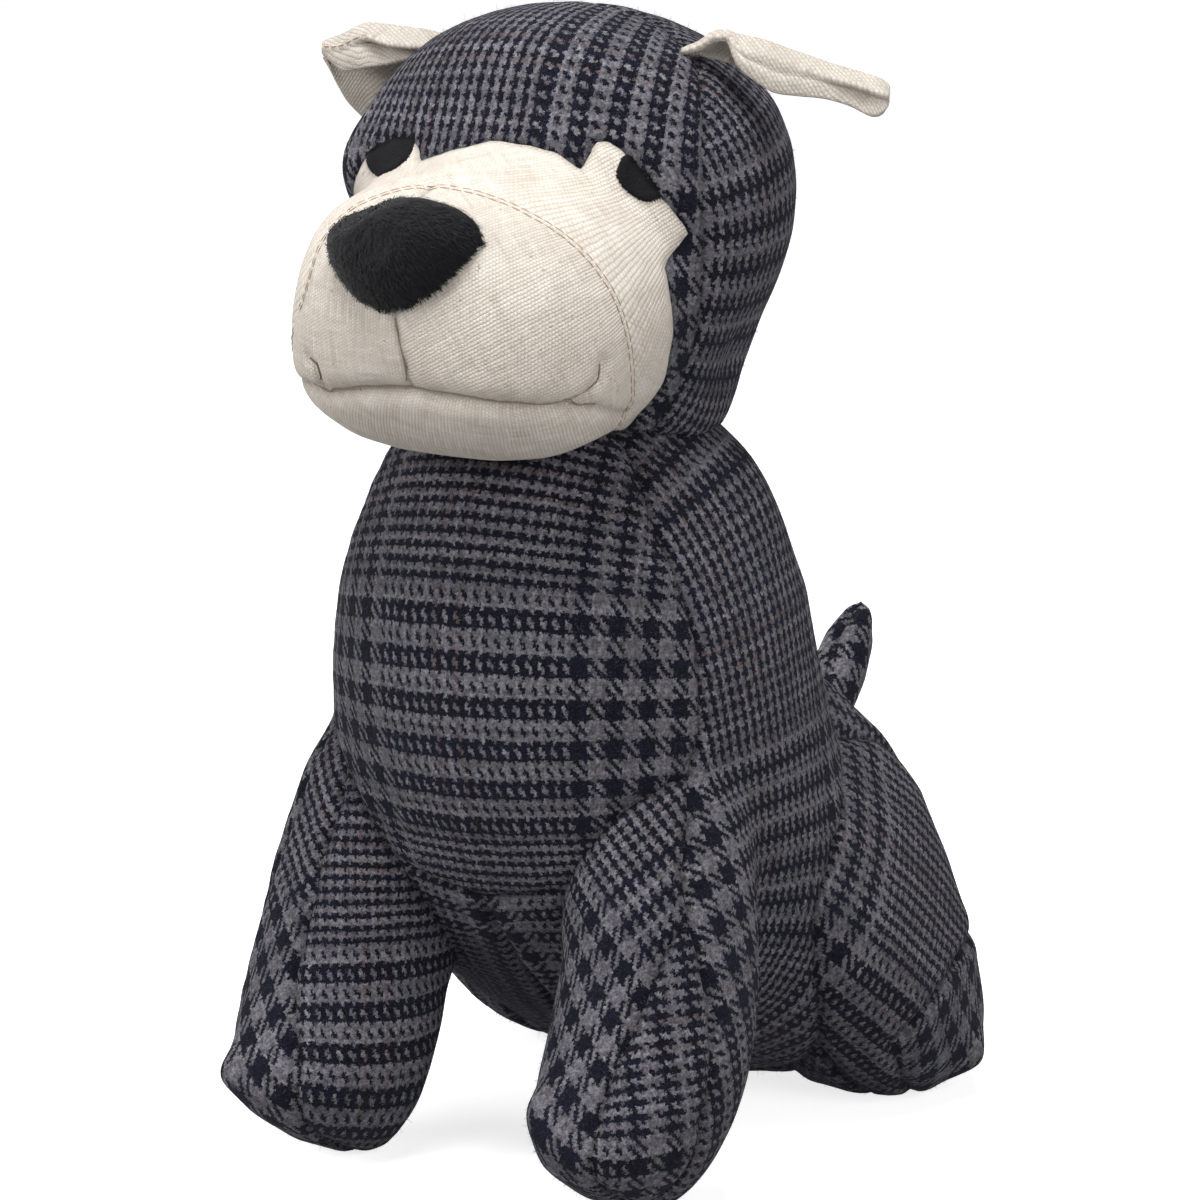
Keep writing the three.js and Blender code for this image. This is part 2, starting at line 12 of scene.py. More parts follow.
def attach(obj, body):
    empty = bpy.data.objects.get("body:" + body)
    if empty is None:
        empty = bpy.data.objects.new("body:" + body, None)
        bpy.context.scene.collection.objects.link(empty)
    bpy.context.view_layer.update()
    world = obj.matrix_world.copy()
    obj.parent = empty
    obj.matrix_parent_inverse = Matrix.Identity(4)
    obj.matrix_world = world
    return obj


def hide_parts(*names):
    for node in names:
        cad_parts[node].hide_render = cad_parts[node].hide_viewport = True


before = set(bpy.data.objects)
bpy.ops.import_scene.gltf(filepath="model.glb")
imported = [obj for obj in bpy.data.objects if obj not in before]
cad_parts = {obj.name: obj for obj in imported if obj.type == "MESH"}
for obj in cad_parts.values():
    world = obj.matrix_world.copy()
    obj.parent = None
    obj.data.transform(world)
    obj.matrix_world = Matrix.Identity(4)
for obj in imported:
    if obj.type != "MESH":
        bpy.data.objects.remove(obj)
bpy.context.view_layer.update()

SHIFT = np.array([0.0, 70.0, 0.0])
rng = np.random.default_rng(7)

LEGS = ["front_leg_left", "front_leg_right", "hind_leg_left", "hind_leg_right"]
TORSO = ["chest_panel", "side_panel_left", "side_panel_right", "base_panel"]
BODY_NODES = ["body_stuffing", "sand_bag", "tail"] + TORSO + LEGS
HEAD_NODES = ["head_stuffing", "crown_panel", "head_side_left", "head_side_right"]
HEAD_NODES += ["face_patch", "chin_panel", "muzzle_left", "muzzle_right"]


# Meshes
def fetched(items, key, width=1, kind=float):
    """One property of all items of a mesh, with a row for each item."""
    values = np.zeros(len(items) * width, kind)
    items.foreach_get(key, values)
    return values.reshape(-1, width) if width > 1 else values


def to_row(points):
    return (np.asarray(points, float) - SHIFT) / 1000


def from_row(points):
    return np.asarray(points, float) * 1000 + SHIFT


def node_mesh(name):
    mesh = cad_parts[name].data
    mesh.calc_loop_triangles()
    return from_row(fetched(mesh.vertices, "co", 3)), fetched(mesh.loop_triangles, "vertices", 3, np.int32)


def merged(names):
    points, faces, start = [], [], 0
    for name in names:
        p, f = node_mesh(name)
        points.append(p)
        faces.append(f + start)
        start += len(p)
    return np.vstack(points), np.vstack(faces)


def new_object(name, points, faces):
    mesh = bpy.data.meshes.new(name)
    mesh.from_pydata(to_row(points).tolist(), [], [list(map(int, f)) for f in faces])
    mesh.update()
    made = bpy.data.objects.new(name, mesh)
    bpy.context.collection.objects.link(made)
    return made


def get_points(obj):
    return from_row(fetched(obj.data.vertices, "co", 3))


def set_points(obj, points):
    obj.data.vertices.foreach_set("co", to_row(points).ravel())
    obj.data.update()


def get_normals(obj):
    return fetched(obj.data.vertices, "normal", 3)


def baked(obj):
    """Replaces the mesh by the result of its modifiers."""
    bpy.context.view_layer.update()
    result = bpy.data.meshes.new_from_object(obj.evaluated_get(bpy.context.evaluated_depsgraph_get()))
    obj.modifiers.clear()
    old = obj.data
    obj.data = result
    bpy.data.meshes.remove(old)


def keep_largest(obj):
    bm = bmesh.new()
    bm.from_mesh(obj.data)
    unseen = set(bm.verts)
    islands = []
    while unseen:
        stack = [unseen.pop()]
        island = [stack[0]]
        while stack:
            for edge in stack.pop().link_edges:
                for v in edge.verts:
                    if v in unseen:
                        unseen.discard(v)
                        stack.append(v)
                        island.append(v)
        islands.append(island)
    islands.sort(key=len)
    for island in islands[:-1]:
        bmesh.ops.delete(bm, geom=island, context="VERTS")
    bm.to_mesh(obj.data)
    bm.free()


def edge_array(obj):
    return fetched(obj.data.edges, "vertices", 2, np.int32)


def averaged(values, edges, rounds, factor=0.5):
    """Each value moves towards the mean of its neighbours', round after round."""
    a, b = edges[:, 0], edges[:, 1]
    count = np.bincount(edges.ravel(), minlength=len(values)).astype(float)
    shape = (-1,) + (1,) * (values.ndim - 1)
    for _ in range(rounds):
        total = np.zeros_like(values)
        np.add.at(total, a, values[b])
        np.add.at(total, b, values[a])
        values = values + factor * (total / count.reshape(shape) - values)
    return values


def smoothed(points, edges, rounds):
    """Smooths without shrinking: each pass inwards is followed by a slightly larger one outwards."""
    for _ in range(rounds):
        points = averaged(points, edges, 1, 0.5)
        points = averaged(points, edges, 1, -0.53)
    return points


def remeshed(obj, voxel):
    remesh = obj.modifiers.new("remesh", "REMESH")
    remesh.mode = "VOXEL"
    remesh.voxel_size = voxel / 1000
    baked(obj)


def soft_form(name, nodes, voxel, rounds):
    obj = new_object(name, *merged(nodes))
    remeshed(obj, voxel)
    keep_largest(obj)
    edges = edge_array(obj)
    set_points(obj, smoothed(averaged(get_points(obj), edges, 2), edges, rounds))
    return obj


def subdivided(obj):
    subdivision = obj.modifiers.new("subdivision", "SUBSURF")
    subdivision.levels = subdivision.render_levels = 1
    baked(obj)


def shade_smooth(obj):
    obj.data.polygons.foreach_set("use_smooth", [True] * len(obj.data.polygons))
    obj.data.update()


def bell(away, width):
    """Falls smoothly from one to zero."""
    return np.exp(-((away / width) ** 2))


def pulled(points, pulls):
    """Moves points by smooth local tugs: each is a place, a move and a reach."""
    moved = points.copy()
    for place, move, reach in pulls:
        away = np.linalg.norm(points - np.array(place, float), axis=1)
        moved += bell(away, reach)[:, None] * np.array(move, float)
    return moved


def distance_to(names, points):
    nodes_points, faces = merged(names)
    tree = BVHTree.FromPolygons(nodes_points.tolist(), faces.tolist())
    return np.array([tree.find_nearest(Vector(p))[3] for p in points])


CLOTH_FRAMES = 20


def inflated(obj, pinned, pressure, cap):
    """Puffs a cover out between its pinned seams by a cloth simulation with air pressure inside.
    No point moves further than the cap."""
    before = get_points(obj)
    group = obj.vertex_groups.new(name="seams")
    for index in np.nonzero(pinned > 0)[0]:
        group.add([int(index)], float(pinned[index]), "REPLACE")
    cloth = obj.modifiers.new("cloth", "CLOTH")
    settings = cloth.settings
    settings.quality = 5
    settings.mass = 0.3
    settings.tension_stiffness = settings.compression_stiffness = 15
    settings.shear_stiffness = 5
    settings.bending_stiffness = 0.5
    settings.use_pressure = True
    settings.uniform_pressure_force = pressure
    settings.vertex_group_mass = "seams"
    settings.effector_weights.gravity = 0
    cloth.collision_settings.use_collision = False
    cloth.point_cache.frame_start, cloth.point_cache.frame_end = 1, CLOTH_FRAMES
    scene = bpy.context.scene
    for number in range(1, CLOTH_FRAMES + 1):
        scene.frame_set(number)
    baked(obj)
    scene.frame_set(1)
    obj.vertex_groups.clear()
    move = get_points(obj) - before
    move = averaged(move, edge_array(obj), 2)
    length = np.linalg.norm(move, axis=1)
    move *= np.minimum(1, cap / np.maximum(length, 1e-6))[:, None]
    set_points(obj, before + move)


# Panels: cutting a cover along its seams and laying each panel flat
def set_fields(obj, fields):
    for name, values in fields.items():
        layer = obj.data.attributes.get(name) or obj.data.attributes.new(name, "FLOAT", "POINT")
        layer.data.foreach_set("value", np.asarray(values, np.float32))


def get_field(obj, name):
    return fetched(obj.data.attributes[name].data, "value", kind=np.float32)


SNAP = 0.12


def cut_along(bm, name):
    """Splits the faces that the zero line of a vertex field crosses, so that the line runs along edges."""
    layer = bm.verts.layers.float[name]
    on_line = {v for v in bm.verts if v[layer] == 0}
    crossing = [e for e in bm.edges if e.verts[0][layer] * e.verts[1][layer] < 0]
    for edge in crossing:
        a, b = edge.verts
        if a[layer] * b[layer] >= 0:
            continue
        share = a[layer] / (a[layer] - b[layer])
        if share < SNAP or share > 1 - SNAP:
            near = a if share < SNAP else b
            near[layer] = 0
            on_line.add(near)
            continue
        middle = bmesh.utils.edge_split(edge, a, share)[1]
        middle[layer] = 0
        on_line.add(middle)
    for face in [f for f in bm.faces if any(v in on_line for v in f.verts)]:
        ring = list(face.verts)
        signs = [0 if v in on_line else math.copysign(1, v[layer]) for v in ring]
        if 1 not in signs or -1 not in signs:
            continue
        zeros = [i for i, s in enumerate(signs) if s == 0]
        for i in zeros:
            for j in zeros:
                inside = set(signs[i + 1 : j]) - {0}
                outside = set(signs[j + 1 :] + signs[:i]) - {0}
                if i < j and len(inside) == 1 and len(outside) == 1 and inside != outside:
                    bmesh.utils.face_split(face, ring[i], ring[j])
                    break
            else:
                continue
            break


def face_corners(obj):
    """Each face's first corner and number of corners."""
    return [fetched(obj.data.polygons, key, kind=np.int32) for key in ("loop_start", "loop_total")]


def face_means(obj, values):
    """The mean of a vertex array over each face."""
    starts, totals = face_corners(obj)
    corners = fetched(obj.data.loops, "vertex_index", kind=np.int32)
    sums = np.add.reduceat(values[corners], starts, axis=0)
    return sums / totals.reshape((-1,) + (1,) * (values.ndim - 1))


def corner_faces(obj):
    totals = face_corners(obj)[1]
    return np.repeat(np.arange(len(totals)), totals)


def seam_edges(obj, labels):
    """The edges between faces of different panels, with the lower and the higher of the two labels."""
    loops_edge = fetched(obj.data.loops, "edge_index", kind=np.int32)
    face_label = labels[corner_faces(obj)]
    low = np.full(len(obj.data.edges), 999)
    high = np.full(len(obj.data.edges), -1)
    np.minimum.at(low, loops_edge, face_label)
    np.maximum.at(high, loops_edge, face_label)
    found = np.nonzero(low != high)[0]
    return found, low[found], high[found]


def distance_from(places, points):
    """How far each point is from the nearest of the places."""
    tree = KDTree(len(places))
    for i, place in enumerate(places):
        tree.insert(place, i)
    tree.balance()
    return np.array([tree.find(p)[2] for p in points])


FAR = 1e3


def seam_distance(obj, edge_indices):
    points = get_points(obj)
    ends = np.unique(edge_array(obj)[edge_indices].ravel())
    return distance_from(points[ends], points) if len(ends) else np.full(len(points), FAR)


def unwrapped(obj, seams):
    mesh = obj.data
    flags = np.zeros(len(mesh.edges), bool)
    flags[seams] = True
    mesh.edges.foreach_set("use_seam", flags)
    if not mesh.uv_layers:
        mesh.uv_layers.new(name="weave")
    mesh.uv_layers.active_index = 0
    bpy.ops.object.select_all(action="DESELECT")
    obj.select_set(True)
    bpy.context.view_layer.objects.active = obj
    bpy.ops.object.mode_set(mode="EDIT")
    bpy.ops.mesh.select_all(action="SELECT")
    bpy.ops.uv.unwrap(method="ANGLE_BASED", margin=0.002)
    bpy.ops.object.mode_set(mode="OBJECT")


class Panel(NamedTuple):
    """How cloth lies on a panel: the axis x and y and the radius that it is wrapped about, or none where
    it lies flat, its turn in degrees, a place on it, the numbers of the two yarns that cross there, the
    direction of its middle, the twill's step and the yarns' pitches."""

    axis: tuple
    turn: float
    place: tuple
    yarns: tuple
    middle: float = 0
    phase: int = 0
    pitch: tuple = (0.73, 0.85)


# Keeps all yarn numbers above zero. It is ten repeats of the check.
FIRST_YARN = 1400


def lay_weave(obj, labels, panels):
    """Turns each unwrapped panel so that its yarns run as its record says, in units of one yarn."""
    mesh = obj.data
    uv = fetched(mesh.uv_layers["weave"].data, "uv", 2)
    faces = corner_faces(obj)
    at = get_points(obj)[fetched(mesh.loops, "vertex_index", kind=np.int32)]
    area = fetched(mesh.polygons, "area")
    starts, totals = face_corners(obj)
    x, y = uv.T
    following = np.arange(len(uv)) + 1
    following[starts + totals - 1] = starts
    cross = x * y[following] - x[following] * y
    flat_area = np.abs(np.add.reduceat(cross, starts)) / 2
    phases = np.zeros(len(mesh.polygons), np.float32)
    for label, panel in panels.items():
        chosen = labels == label
        mine = chosen[faces]
        scale = math.sqrt(area[chosen].sum() * 1e6 / max(flat_area[chosen].sum(), 1e-12))
        flat = uv[mine] * scale
        points = at[mine]
        if panel.axis is None:
            target = np.stack([points[:, 0], -points[:, 1]], 1)
        else:
            axis_x, axis_y, radius = panel.axis
            around = np.arctan2(points[:, 0] - axis_x, -(points[:, 1] - axis_y))
            around = (around - panel.middle + math.pi) % (2 * math.pi) - math.pi
            target = np.stack([radius * around, points[:, 2]], 1)
        a = (flat - flat.mean(0)) @ np.array([1, 1j])
        b = (target - target.mean(0)) @ np.array([1, 1j])
        straight, flipped = np.sum(np.conj(a) * b), np.sum(a * b)
        if abs(flipped) > abs(straight):
            a, straight = np.conj(a), flipped
        turned = a * straight / abs(straight) * np.exp(1j * math.radians(panel.turn))
        yarns = np.stack([turned.real / panel.pitch[0], turned.imag / panel.pitch[1]], 1)
        nearest = np.argmin(np.linalg.norm(points - np.array(panel.place, float), axis=1))
        uv[mine] = yarns - yarns[nearest] + np.array(panel.yarns, float) + FIRST_YARN
        phases[chosen] = panel.phase
    mesh.uv_layers["weave"].data.foreach_set("uv", uv.ravel())
    layer = mesh.attributes.new("phase", "FLOAT", "FACE")
    layer.data.foreach_set("value", phases)


def lumpy(points, size, seed):
    """A soft random number between -1 and 1 for each point, with features of about the size given."""
    offset = Vector((seed * 7.3, seed * 3.1, seed * 5.7))
    return np.array([noise.noise(Vector(p) / size + offset) for p in points.tolist()])


# Beside a seam: how wide its groove is, and how far off and how wide the swell of the stuffing is
GROOVE_WIDTH, PUFF_AT, PUFF_WIDTH = 1.4, 4.5, 3


def sewn(obj, cuts, label_of, panels, groove, puff, flat_pairs=()):
    """Cuts a cover along its seams, lays its panels flat and draws the seams in. The seams between the
    flat pairs of panels are topstitched, so they stay flat. Returns the labels and the flat edges."""
    cut_fields = cuts(get_points(obj))
    set_fields(obj, cut_fields)
    bm = bmesh.new()
    bm.from_mesh(obj.data)
    for name in cut_fields:
        cut_along(bm, name)
    bm.to_mesh(obj.data)
    bm.free()
    fields = {name: face_means(obj, get_field(obj, name)) for name in cut_fields}
    labels = label_of(face_means(obj, get_points(obj)), fields)
    seams, low, high = seam_edges(obj, labels)
    unwrapped(obj, seams)
    lay_weave(obj, labels, panels)
    is_flat = np.zeros(len(seams), bool)
    for a, b in flat_pairs:
        is_flat |= (low == min(a, b)) & (high == max(a, b))
    away = seam_distance(obj, seams[~is_flat])
    to_flat = seam_distance(obj, seams[is_flat])
    normals = get_normals(obj)
    points = get_points(obj)
    wave = 0.8 + 0.5 * lumpy(points, 5, 1)
    depth = groove * bell(away, GROOVE_WIDTH) * wave
    depth -= puff * bell(away - PUFF_AT, PUFF_WIDTH) * wave
    depth += 0.3 * bell(to_flat, 2.6) - 0.25 * bell(to_flat, 0.8)
    set_points(obj, points - normals * depth[:, None])
    # The closeness to the seams. The cloth materials darken by it, as painted shade in the seam grooves.
    set_fields(obj, {"seam": bell(away, 1)})
    for name in cut_fields:
        obj.data.attributes.remove(obj.data.attributes[name])
    shade_smooth(obj)
    return labels, seams[is_flat]


def line(values, at):
    """Piecewise linear: values is a list of (key, value) in rising order of key."""
    keys, results = zip(*values)
    return np.interp(at, keys, results)


def lengths_along(path):
    return np.concatenate([[0], np.cumsum(np.linalg.norm(np.diff(path[:, :3], axis=0), axis=1))])


def even(path, step):
    """A path's points again, at even steps along it."""
    path = np.asarray(path, float)
    at = lengths_along(path)
    s = np.arange(0, at[-1], step)
    return np.stack([np.interp(s, at, path[:, k]) for k in range(path.shape[1])], 1)


# Materials
class Nodes:
    """The node tree of a material or a world, built in few words."""

    def __init__(self, owner):
        self.owner = owner
        owner.use_nodes = True
        self.tree = owner.node_tree

    def put(self, value, socket):
        if isinstance(value, bpy.types.NodeSocket):
            self.tree.links.new(value, socket)
        else:
            socket.default_value = (*value, 1) if socket.type == "RGBA" else value

    def add(self, kind, *values):
        """A node whose first inputs are the values."""
        node = self.tree.nodes.new(kind)
        for value, socket in zip(values, node.inputs):
            self.put(value, socket)
        return node

    def math(self, operation, *values):
        node = self.add("ShaderNodeMath", *values)
        node.operation = operation
        return node.outputs[0]

    def plus(self, a, b):
        return self.math("ADD", a, b)

    def minus(self, a, b):
        return self.math("SUBTRACT", a, b)

    def times(self, a, b):
        return self.math("MULTIPLY", a, b)

    def blend(self, share, a, b):
        """A number between a and b."""
        return self.plus(a, self.times(share, self.minus(b, a)))

    def mix(self, share, a, b, blend="MIX"):
        """A colour between a and b."""
        node = self.tree.nodes.new("ShaderNodeMix")
        node.data_type = "RGBA"
        node.blend_type = blend
        for value, k in ((share, 0), (a, 6), (b, 7)):
            self.put(value, node.inputs[k])
        return node.outputs[2]

    def shaded(self, colour, level):
        return self.mix(1.0, colour, self.combine(level, level, level), "MULTIPLY")

    def attribute(self, name, output="Fac"):
        node = self.tree.nodes.new("ShaderNodeAttribute")
        node.attribute_name = name
        return node.outputs[output]

    def object_place(self):
        return self.tree.nodes.new("ShaderNodeTexCoord").outputs["Object"]

    def noise(self, vector, scale, detail=2.0, roughness=0.5, output="Fac"):
        node = self.tree.nodes.new("ShaderNodeTexNoise")
        named = {"Vector": vector, "Scale": scale, "Detail": detail, "Roughness": roughness}
        for key, value in named.items():
            self.put(value, node.inputs[key])
        return node.outputs[output]

    def white(self, vector):
        """A random number between 0 and 1 for each place."""
        return self.add("ShaderNodeTexWhiteNoise", vector).outputs["Value"]

    def combine(self, *values):
        return self.add("ShaderNodeCombineXYZ", *values).outputs[0]

    def separate(self, vector):
        return self.add("ShaderNodeSeparateXYZ", vector).outputs

    def stretched(self, vector, factors):
        node = self.add("ShaderNodeVectorMath", vector, factors)
        node.operation = "MULTIPLY"
        return node.outputs[0]

    def bump(self, height, distance, strength=1.0):
        node = self.tree.nodes.new("ShaderNodeBump")
        for key, value in {"Height": height, "Distance": distance, "Strength": strength}.items():
            self.put(value, node.inputs[key])
        return node.outputs[0]

    def direct_ray(self):
        """One for rays that come from the camera, straight or by a glossy or clear surface."""
        rays = self.tree.nodes.new("ShaderNodeLightPath").outputs
        found = self.math("MAXIMUM", rays["Is Camera Ray"], rays["Is Glossy Ray"])
        return self.math("MAXIMUM", found, rays["Is Transmission Ray"])

    def finish(self, colour, normal, roughness, sheen=0.0, sheen_roughness=0.5, sheen_tint=(1, 1, 1)):
        inputs = self.tree.nodes["Principled BSDF"].inputs
        if normal is not None:
            self.put(normal, inputs["Normal"])
        for key, value in {
            "Base Color": colour,
            "Roughness": roughness,
            "Specular IOR Level": 0.1,
            "Sheen Weight": sheen,
            "Sheen Roughness": sheen_roughness,
            "Sheen Tint": sheen_tint,
        }.items():
            self.put(value, inputs[key])
        return self.owner


LIGHT_YARN = ((0.13, 0.125, 0.146), (0.29, 0.28, 0.312))
DARK_YARN = ((0.002, 0.002, 0.007), (0.008, 0.009, 0.025))
LOOSE_HAIR = (0.36, 0.35, 0.38)
RUST_YARN = (0.15, 0.06, 0.032)
LINEN = ((0.85, 0.78, 0.70), (0.65, 0.58, 0.50))
FLECK = (0.33, 0.25, 0.18)
# The yarns of one repeat of the check: the first are in broad stripes, two are rust
REPEAT = 140
BROAD = 72
RUST = (95, 103)
# The yarns of a pair of stripes, and how many of them are dark
BROAD_PAIR = (12, 6)
FINE_PAIR = (4, 2)


def wool_material():
    """A 2/2 twill in a glen check: broad stripes of six and six yarns beside fine ones of two and two."""
    n = Nodes(bpy.data.materials.new("wool_check"))
    place = n.object_place()
    u, v, _ = n.separate(n.attribute("weave", "Vector"))
    for scale, reach in ((3200, 2.0), (1100, 2.0), (120, 1.0)):
        shift = n.separate(n.noise(place, scale, 2, 0.6, "Color"))
        u = n.plus(u, n.times(n.minus(shift[0], 0.5), reach))
        v = n.plus(v, n.times(n.minus(shift[1], 0.5), reach))
    i, j = n.math("FLOOR", u), n.math("FLOOR", v)
    step = n.math("FLOORED_MODULO", n.plus(n.plus(i, j), n.attribute("phase")), 4)
    warp_up = n.math("LESS_THAN", step, 1.5)

    def striped(k, pair):
        return n.math("LESS_THAN", n.math("FLOORED_MODULO", k, pair[0]), pair[1] - 0.5)

    def yarn(number):
        k = n.math("FLOORED_MODULO", number, REPEAT)
        broad = n.math("LESS_THAN", k, BROAD - 0.5)
        dark = n.blend(broad, striped(k, FINE_PAIR), striped(k, BROAD_PAIR))
        return dark, n.plus(*(n.math("COMPARE", k, r, 0.5) for r in RUST))

    (warp_dark, warp_rust), (weft_dark, weft_rust) = yarn(i), yarn(j)
    dark = n.blend(warp_up, weft_dark, warp_dark)
    rust = n.blend(warp_up, weft_rust, warp_rust)
    own = n.white(n.combine(n.blend(warp_up, j, i), warp_up))
    spot = n.white(n.combine(i, j, 3.0))
    fibre = n.noise(place, 1500, 3, 0.7)
    cloud = n.noise(place, 45)
    colour = n.mix(dark, n.mix(own, *LIGHT_YARN), n.mix(own, *DARK_YARN))
    colour = n.mix(n.times(rust, 0.45), colour, RUST_YARN)
    hairs = n.noise(n.stretched(place, (1.0, 0.45, 1.6)), 2600, 3, 0.75)
    loose = n.times(n.math("GREATER_THAN", hairs, 0.6), n.blend(dark, 0.45, 0.16))
    colour = n.mix(loose, colour, LOOSE_HAIR)
    level = n.math("MAXIMUM", n.minus(n.times(fibre, 3.2), 0.6), 0.15)
    level = n.times(level, n.plus(0.8, n.times(spot, 0.4)))
    level = n.times(level, n.plus(0.8, n.times(cloud, 0.4)))
    # Painted shade: the wool is darker along the seams, in their grooves.
    level = n.times(level, n.minus(1, n.times(n.attribute("seam"), 0.45)))
    across_warp = n.minus(n.math("FRACT", u), 0.5)
    across_weft = n.minus(n.math("FRACT", v), 0.5)
    profile = n.math("COSINE", n.times(n.blend(warp_up, across_weft, across_warp), 2.8))
    height = n.plus(profile, n.plus(n.times(fibre, 1.6), hairs))
    relief = n.bump(height, 0.00036)
    return n.finish(n.shaded(colour, level), relief, 0.95, sheen=0.03, sheen_tint=(0.7, 0.7, 0.78))


def linen_material(name, painted_shade_factor=1.0):
    """An undyed cloth whose uneven yarns lie in ribs, with a few darker flecks, and with painted shade in
    the hollows between the ribs and along the seams. A factor below one darkens all of it as painted shade,
    for a shaded copy of the cloth.
    """
    n = Nodes(bpy.data.materials.new(name))
    place = n.object_place()
    u, v, _ = n.separate(n.attribute("weave", "Vector"))
    for scale, reach in ((260, 0.7), (1500, 0.35)):
        wobble = n.times(n.minus(n.noise(place, scale), 0.5), reach)
        u, v = n.plus(u, wobble), n.minus(v, wobble)
    i, j = n.math("FLOOR", u), n.math("FLOOR", v)
    slub_u = n.noise(n.combine(n.times(i, 7.31), n.times(v, 0.09), 0.0), 1)
    slub_v = n.noise(n.combine(n.times(j, 5.77), n.times(u, 0.09), 9.0), 1)
    slub = n.times(n.plus(slub_u, slub_v), 0.5)
    cloud = n.noise(place, 30, 3, 0.6)
    fibre = n.noise(place, 2400, 3, 0.7)
    # A factor below one darkens the whole cloth, as painted shade.
    pale, deep = [tuple(painted_shade_factor * c for c in shade) for shade in LINEN]
    uneven = n.plus(n.times(n.minus(slub, 0.5), 3), 0.5)
    colour = n.mix(n.math("MINIMUM", n.math("MAXIMUM", uneven, 0), 1), pale, deep)
    fleck = n.math("GREATER_THAN", n.noise(place, 560, 1), 0.745)
    colour = n.mix(n.times(fleck, 0.45), colour, FLECK)

    def rounded(value):
        return n.math("POWER", n.math("ABSOLUTE", n.math("SINE", n.times(value, math.pi))), 0.6)

    half_shift = n.times(n.math("FLOORED_MODULO", i, 2), 0.5)
    relief = n.plus(n.times(rounded(u), 0.55), n.times(rounded(n.plus(v, half_shift)), 0.45))
    level = n.plus(0.9, n.times(cloud, 0.2))
    # Painted shade: darker in the hollows between the ribs.
    level = n.times(level, n.plus(0.64, n.times(relief, 0.42)))
    level = n.times(level, n.plus(0.88, n.times(fibre, 0.24)))
    # Painted shade: darker along the seams, in their grooves.
    level = n.times(level, n.minus(1, n.times(n.attribute("seam"), 0.3)))
    height = n.plus(relief, n.plus(n.times(slub, 0.5), n.times(fibre, 0.4)))
    return n.finish(n.shaded(colour, level), n.bump(height, 0.00024), 0.88, sheen=0.06)


def speckled(name, low, high, scale, detail, relief, strength, **surface):
    """A colour that wavers between two by a fine noise, which is also its relief."""
    n = Nodes(bpy.data.materials.new(name))
    grain = n.noise(n.object_place(), scale, detail, 0.6)
    return n.finish(n.mix(grain, low, high), n.bump(grain, relief, strength), **surface)


def plain(name, colour):
    low, high = tuple(0.85 * c for c in colour), tuple(min(1.1 * c, 1) for c in colour)
    return speckled(name, low, high, scale=900, detail=3, relief=0.0002, strength=0.5, roughness=0.9)


wool = wool_material()
linen = linen_material("linen_cloth")
# The ears' linen: the same cloth with painted shade, darker all over.
shaded_ear_linen = linen_material("shaded_ear_linen", 0.78)


# Body cover. Its seams are given as (height, place): along y at the chest, out to the side on the legs,
# and along a slanting direction at the toes.
CHEST_SEAM = [
    (0, -66), (29, -65), (43, -61.2), (54, -59.6), (76, -58.6), (87, -56.3), (97, -51.9),
    (107, -46.5), (117, -42.9), (141, -42), (168, -44.3), (180, -42.4), (187, -40.1), (200, -38),
]
STRIP_LEFT = [(0, 49), (28, 50), (42, 50.8), (51, 53.2), (64, 56), (71, 57.5), (76, 60)]
STRIP_RIGHT = [(0, 37), (29, 37.5), (39, 42), (50, 45.4), (69, 44), (80, 43.6), (90, 41), (112, 40.5)]
TOE_LINE = [(0, 80), (12, 76), (24, 72.6), (33, 83), (41, 93), (44, 120)]
LEG_SPLIT = 38
HAUNCH_SPLIT = 50
BASE_HEIGHT = 9
TOE_ACROSS = (0.848, 0.53)


def body_fields(points):
    torso_distance = distance_to(TORSO, points)
    edges = edge_array(body)
    fields = {}
    for name in (*LEGS, "tail"):
        nearer = np.clip(torso_distance - distance_to([name], points), -8, 8)
        fields[name] = averaged(nearer, edges, 6)
    x, y, z = points.T
    side = np.abs(x)
    fields["chest"] = line(CHEST_SEAM, z) - y
    strip = np.where(x > 0, line(STRIP_LEFT, z), line(STRIP_RIGHT, z))
    fields["strip"] = side - strip
    fields["leg_split"] = side - LEG_SPLIT
    fields["haunch_split"] = side - HAUNCH_SPLIT
    fields["toe"] = TOE_ACROSS[0] * side + TOE_ACROSS[1] * y - line(TOE_LINE, z)
    fields["base"] = BASE_HEIGHT - z
    fields["middle"] = x + 0.01
    return fields


CHEST, SIDE_L, SIDE_R, BASE, IN_L, IN_R, STRIP_L, STRIP_R = range(8)
HAUNCH_L, HAUNCH_R, THIGH_L, THIGH_R, TOE_L, TOE_R, TAIL_L, TAIL_R = range(8, 16)


def body_labels(points, f):
    left = f["middle"] > 0

    def choose(a, b):
        return np.where(left, a, b)

    labels = np.where(f["chest"] > 0, CHEST, choose(SIDE_L, SIDE_R))
    labels[f["base"] > 0] = BASE
    front = ((f["front_leg_left"] > 0) & left) | ((f["front_leg_right"] > 0) & ~left)
    outer = (f["chest"] < 0) & (f["leg_split"] > 0)
    strip = (f["chest"] > 0) & (f["strip"] > 0)
    inner = np.where(strip, choose(STRIP_L, STRIP_R), choose(IN_L, IN_R))
    labels = np.where(front, np.where(outer, choose(SIDE_L, SIDE_R), inner), labels)
    hind = ((f["hind_leg_left"] > 0) & left) | ((f["hind_leg_right"] > 0) & ~left)
    outside = np.where(f["toe"] > 0, choose(TOE_L, TOE_R), choose(HAUNCH_L, HAUNCH_R))
    haunch = np.where(f["haunch_split"] > 0, outside, choose(THIGH_L, THIGH_R))
    labels = np.where(hind, haunch, labels)
    return np.where(f["tail"] > 0, choose(TAIL_L, TAIL_R), labels)


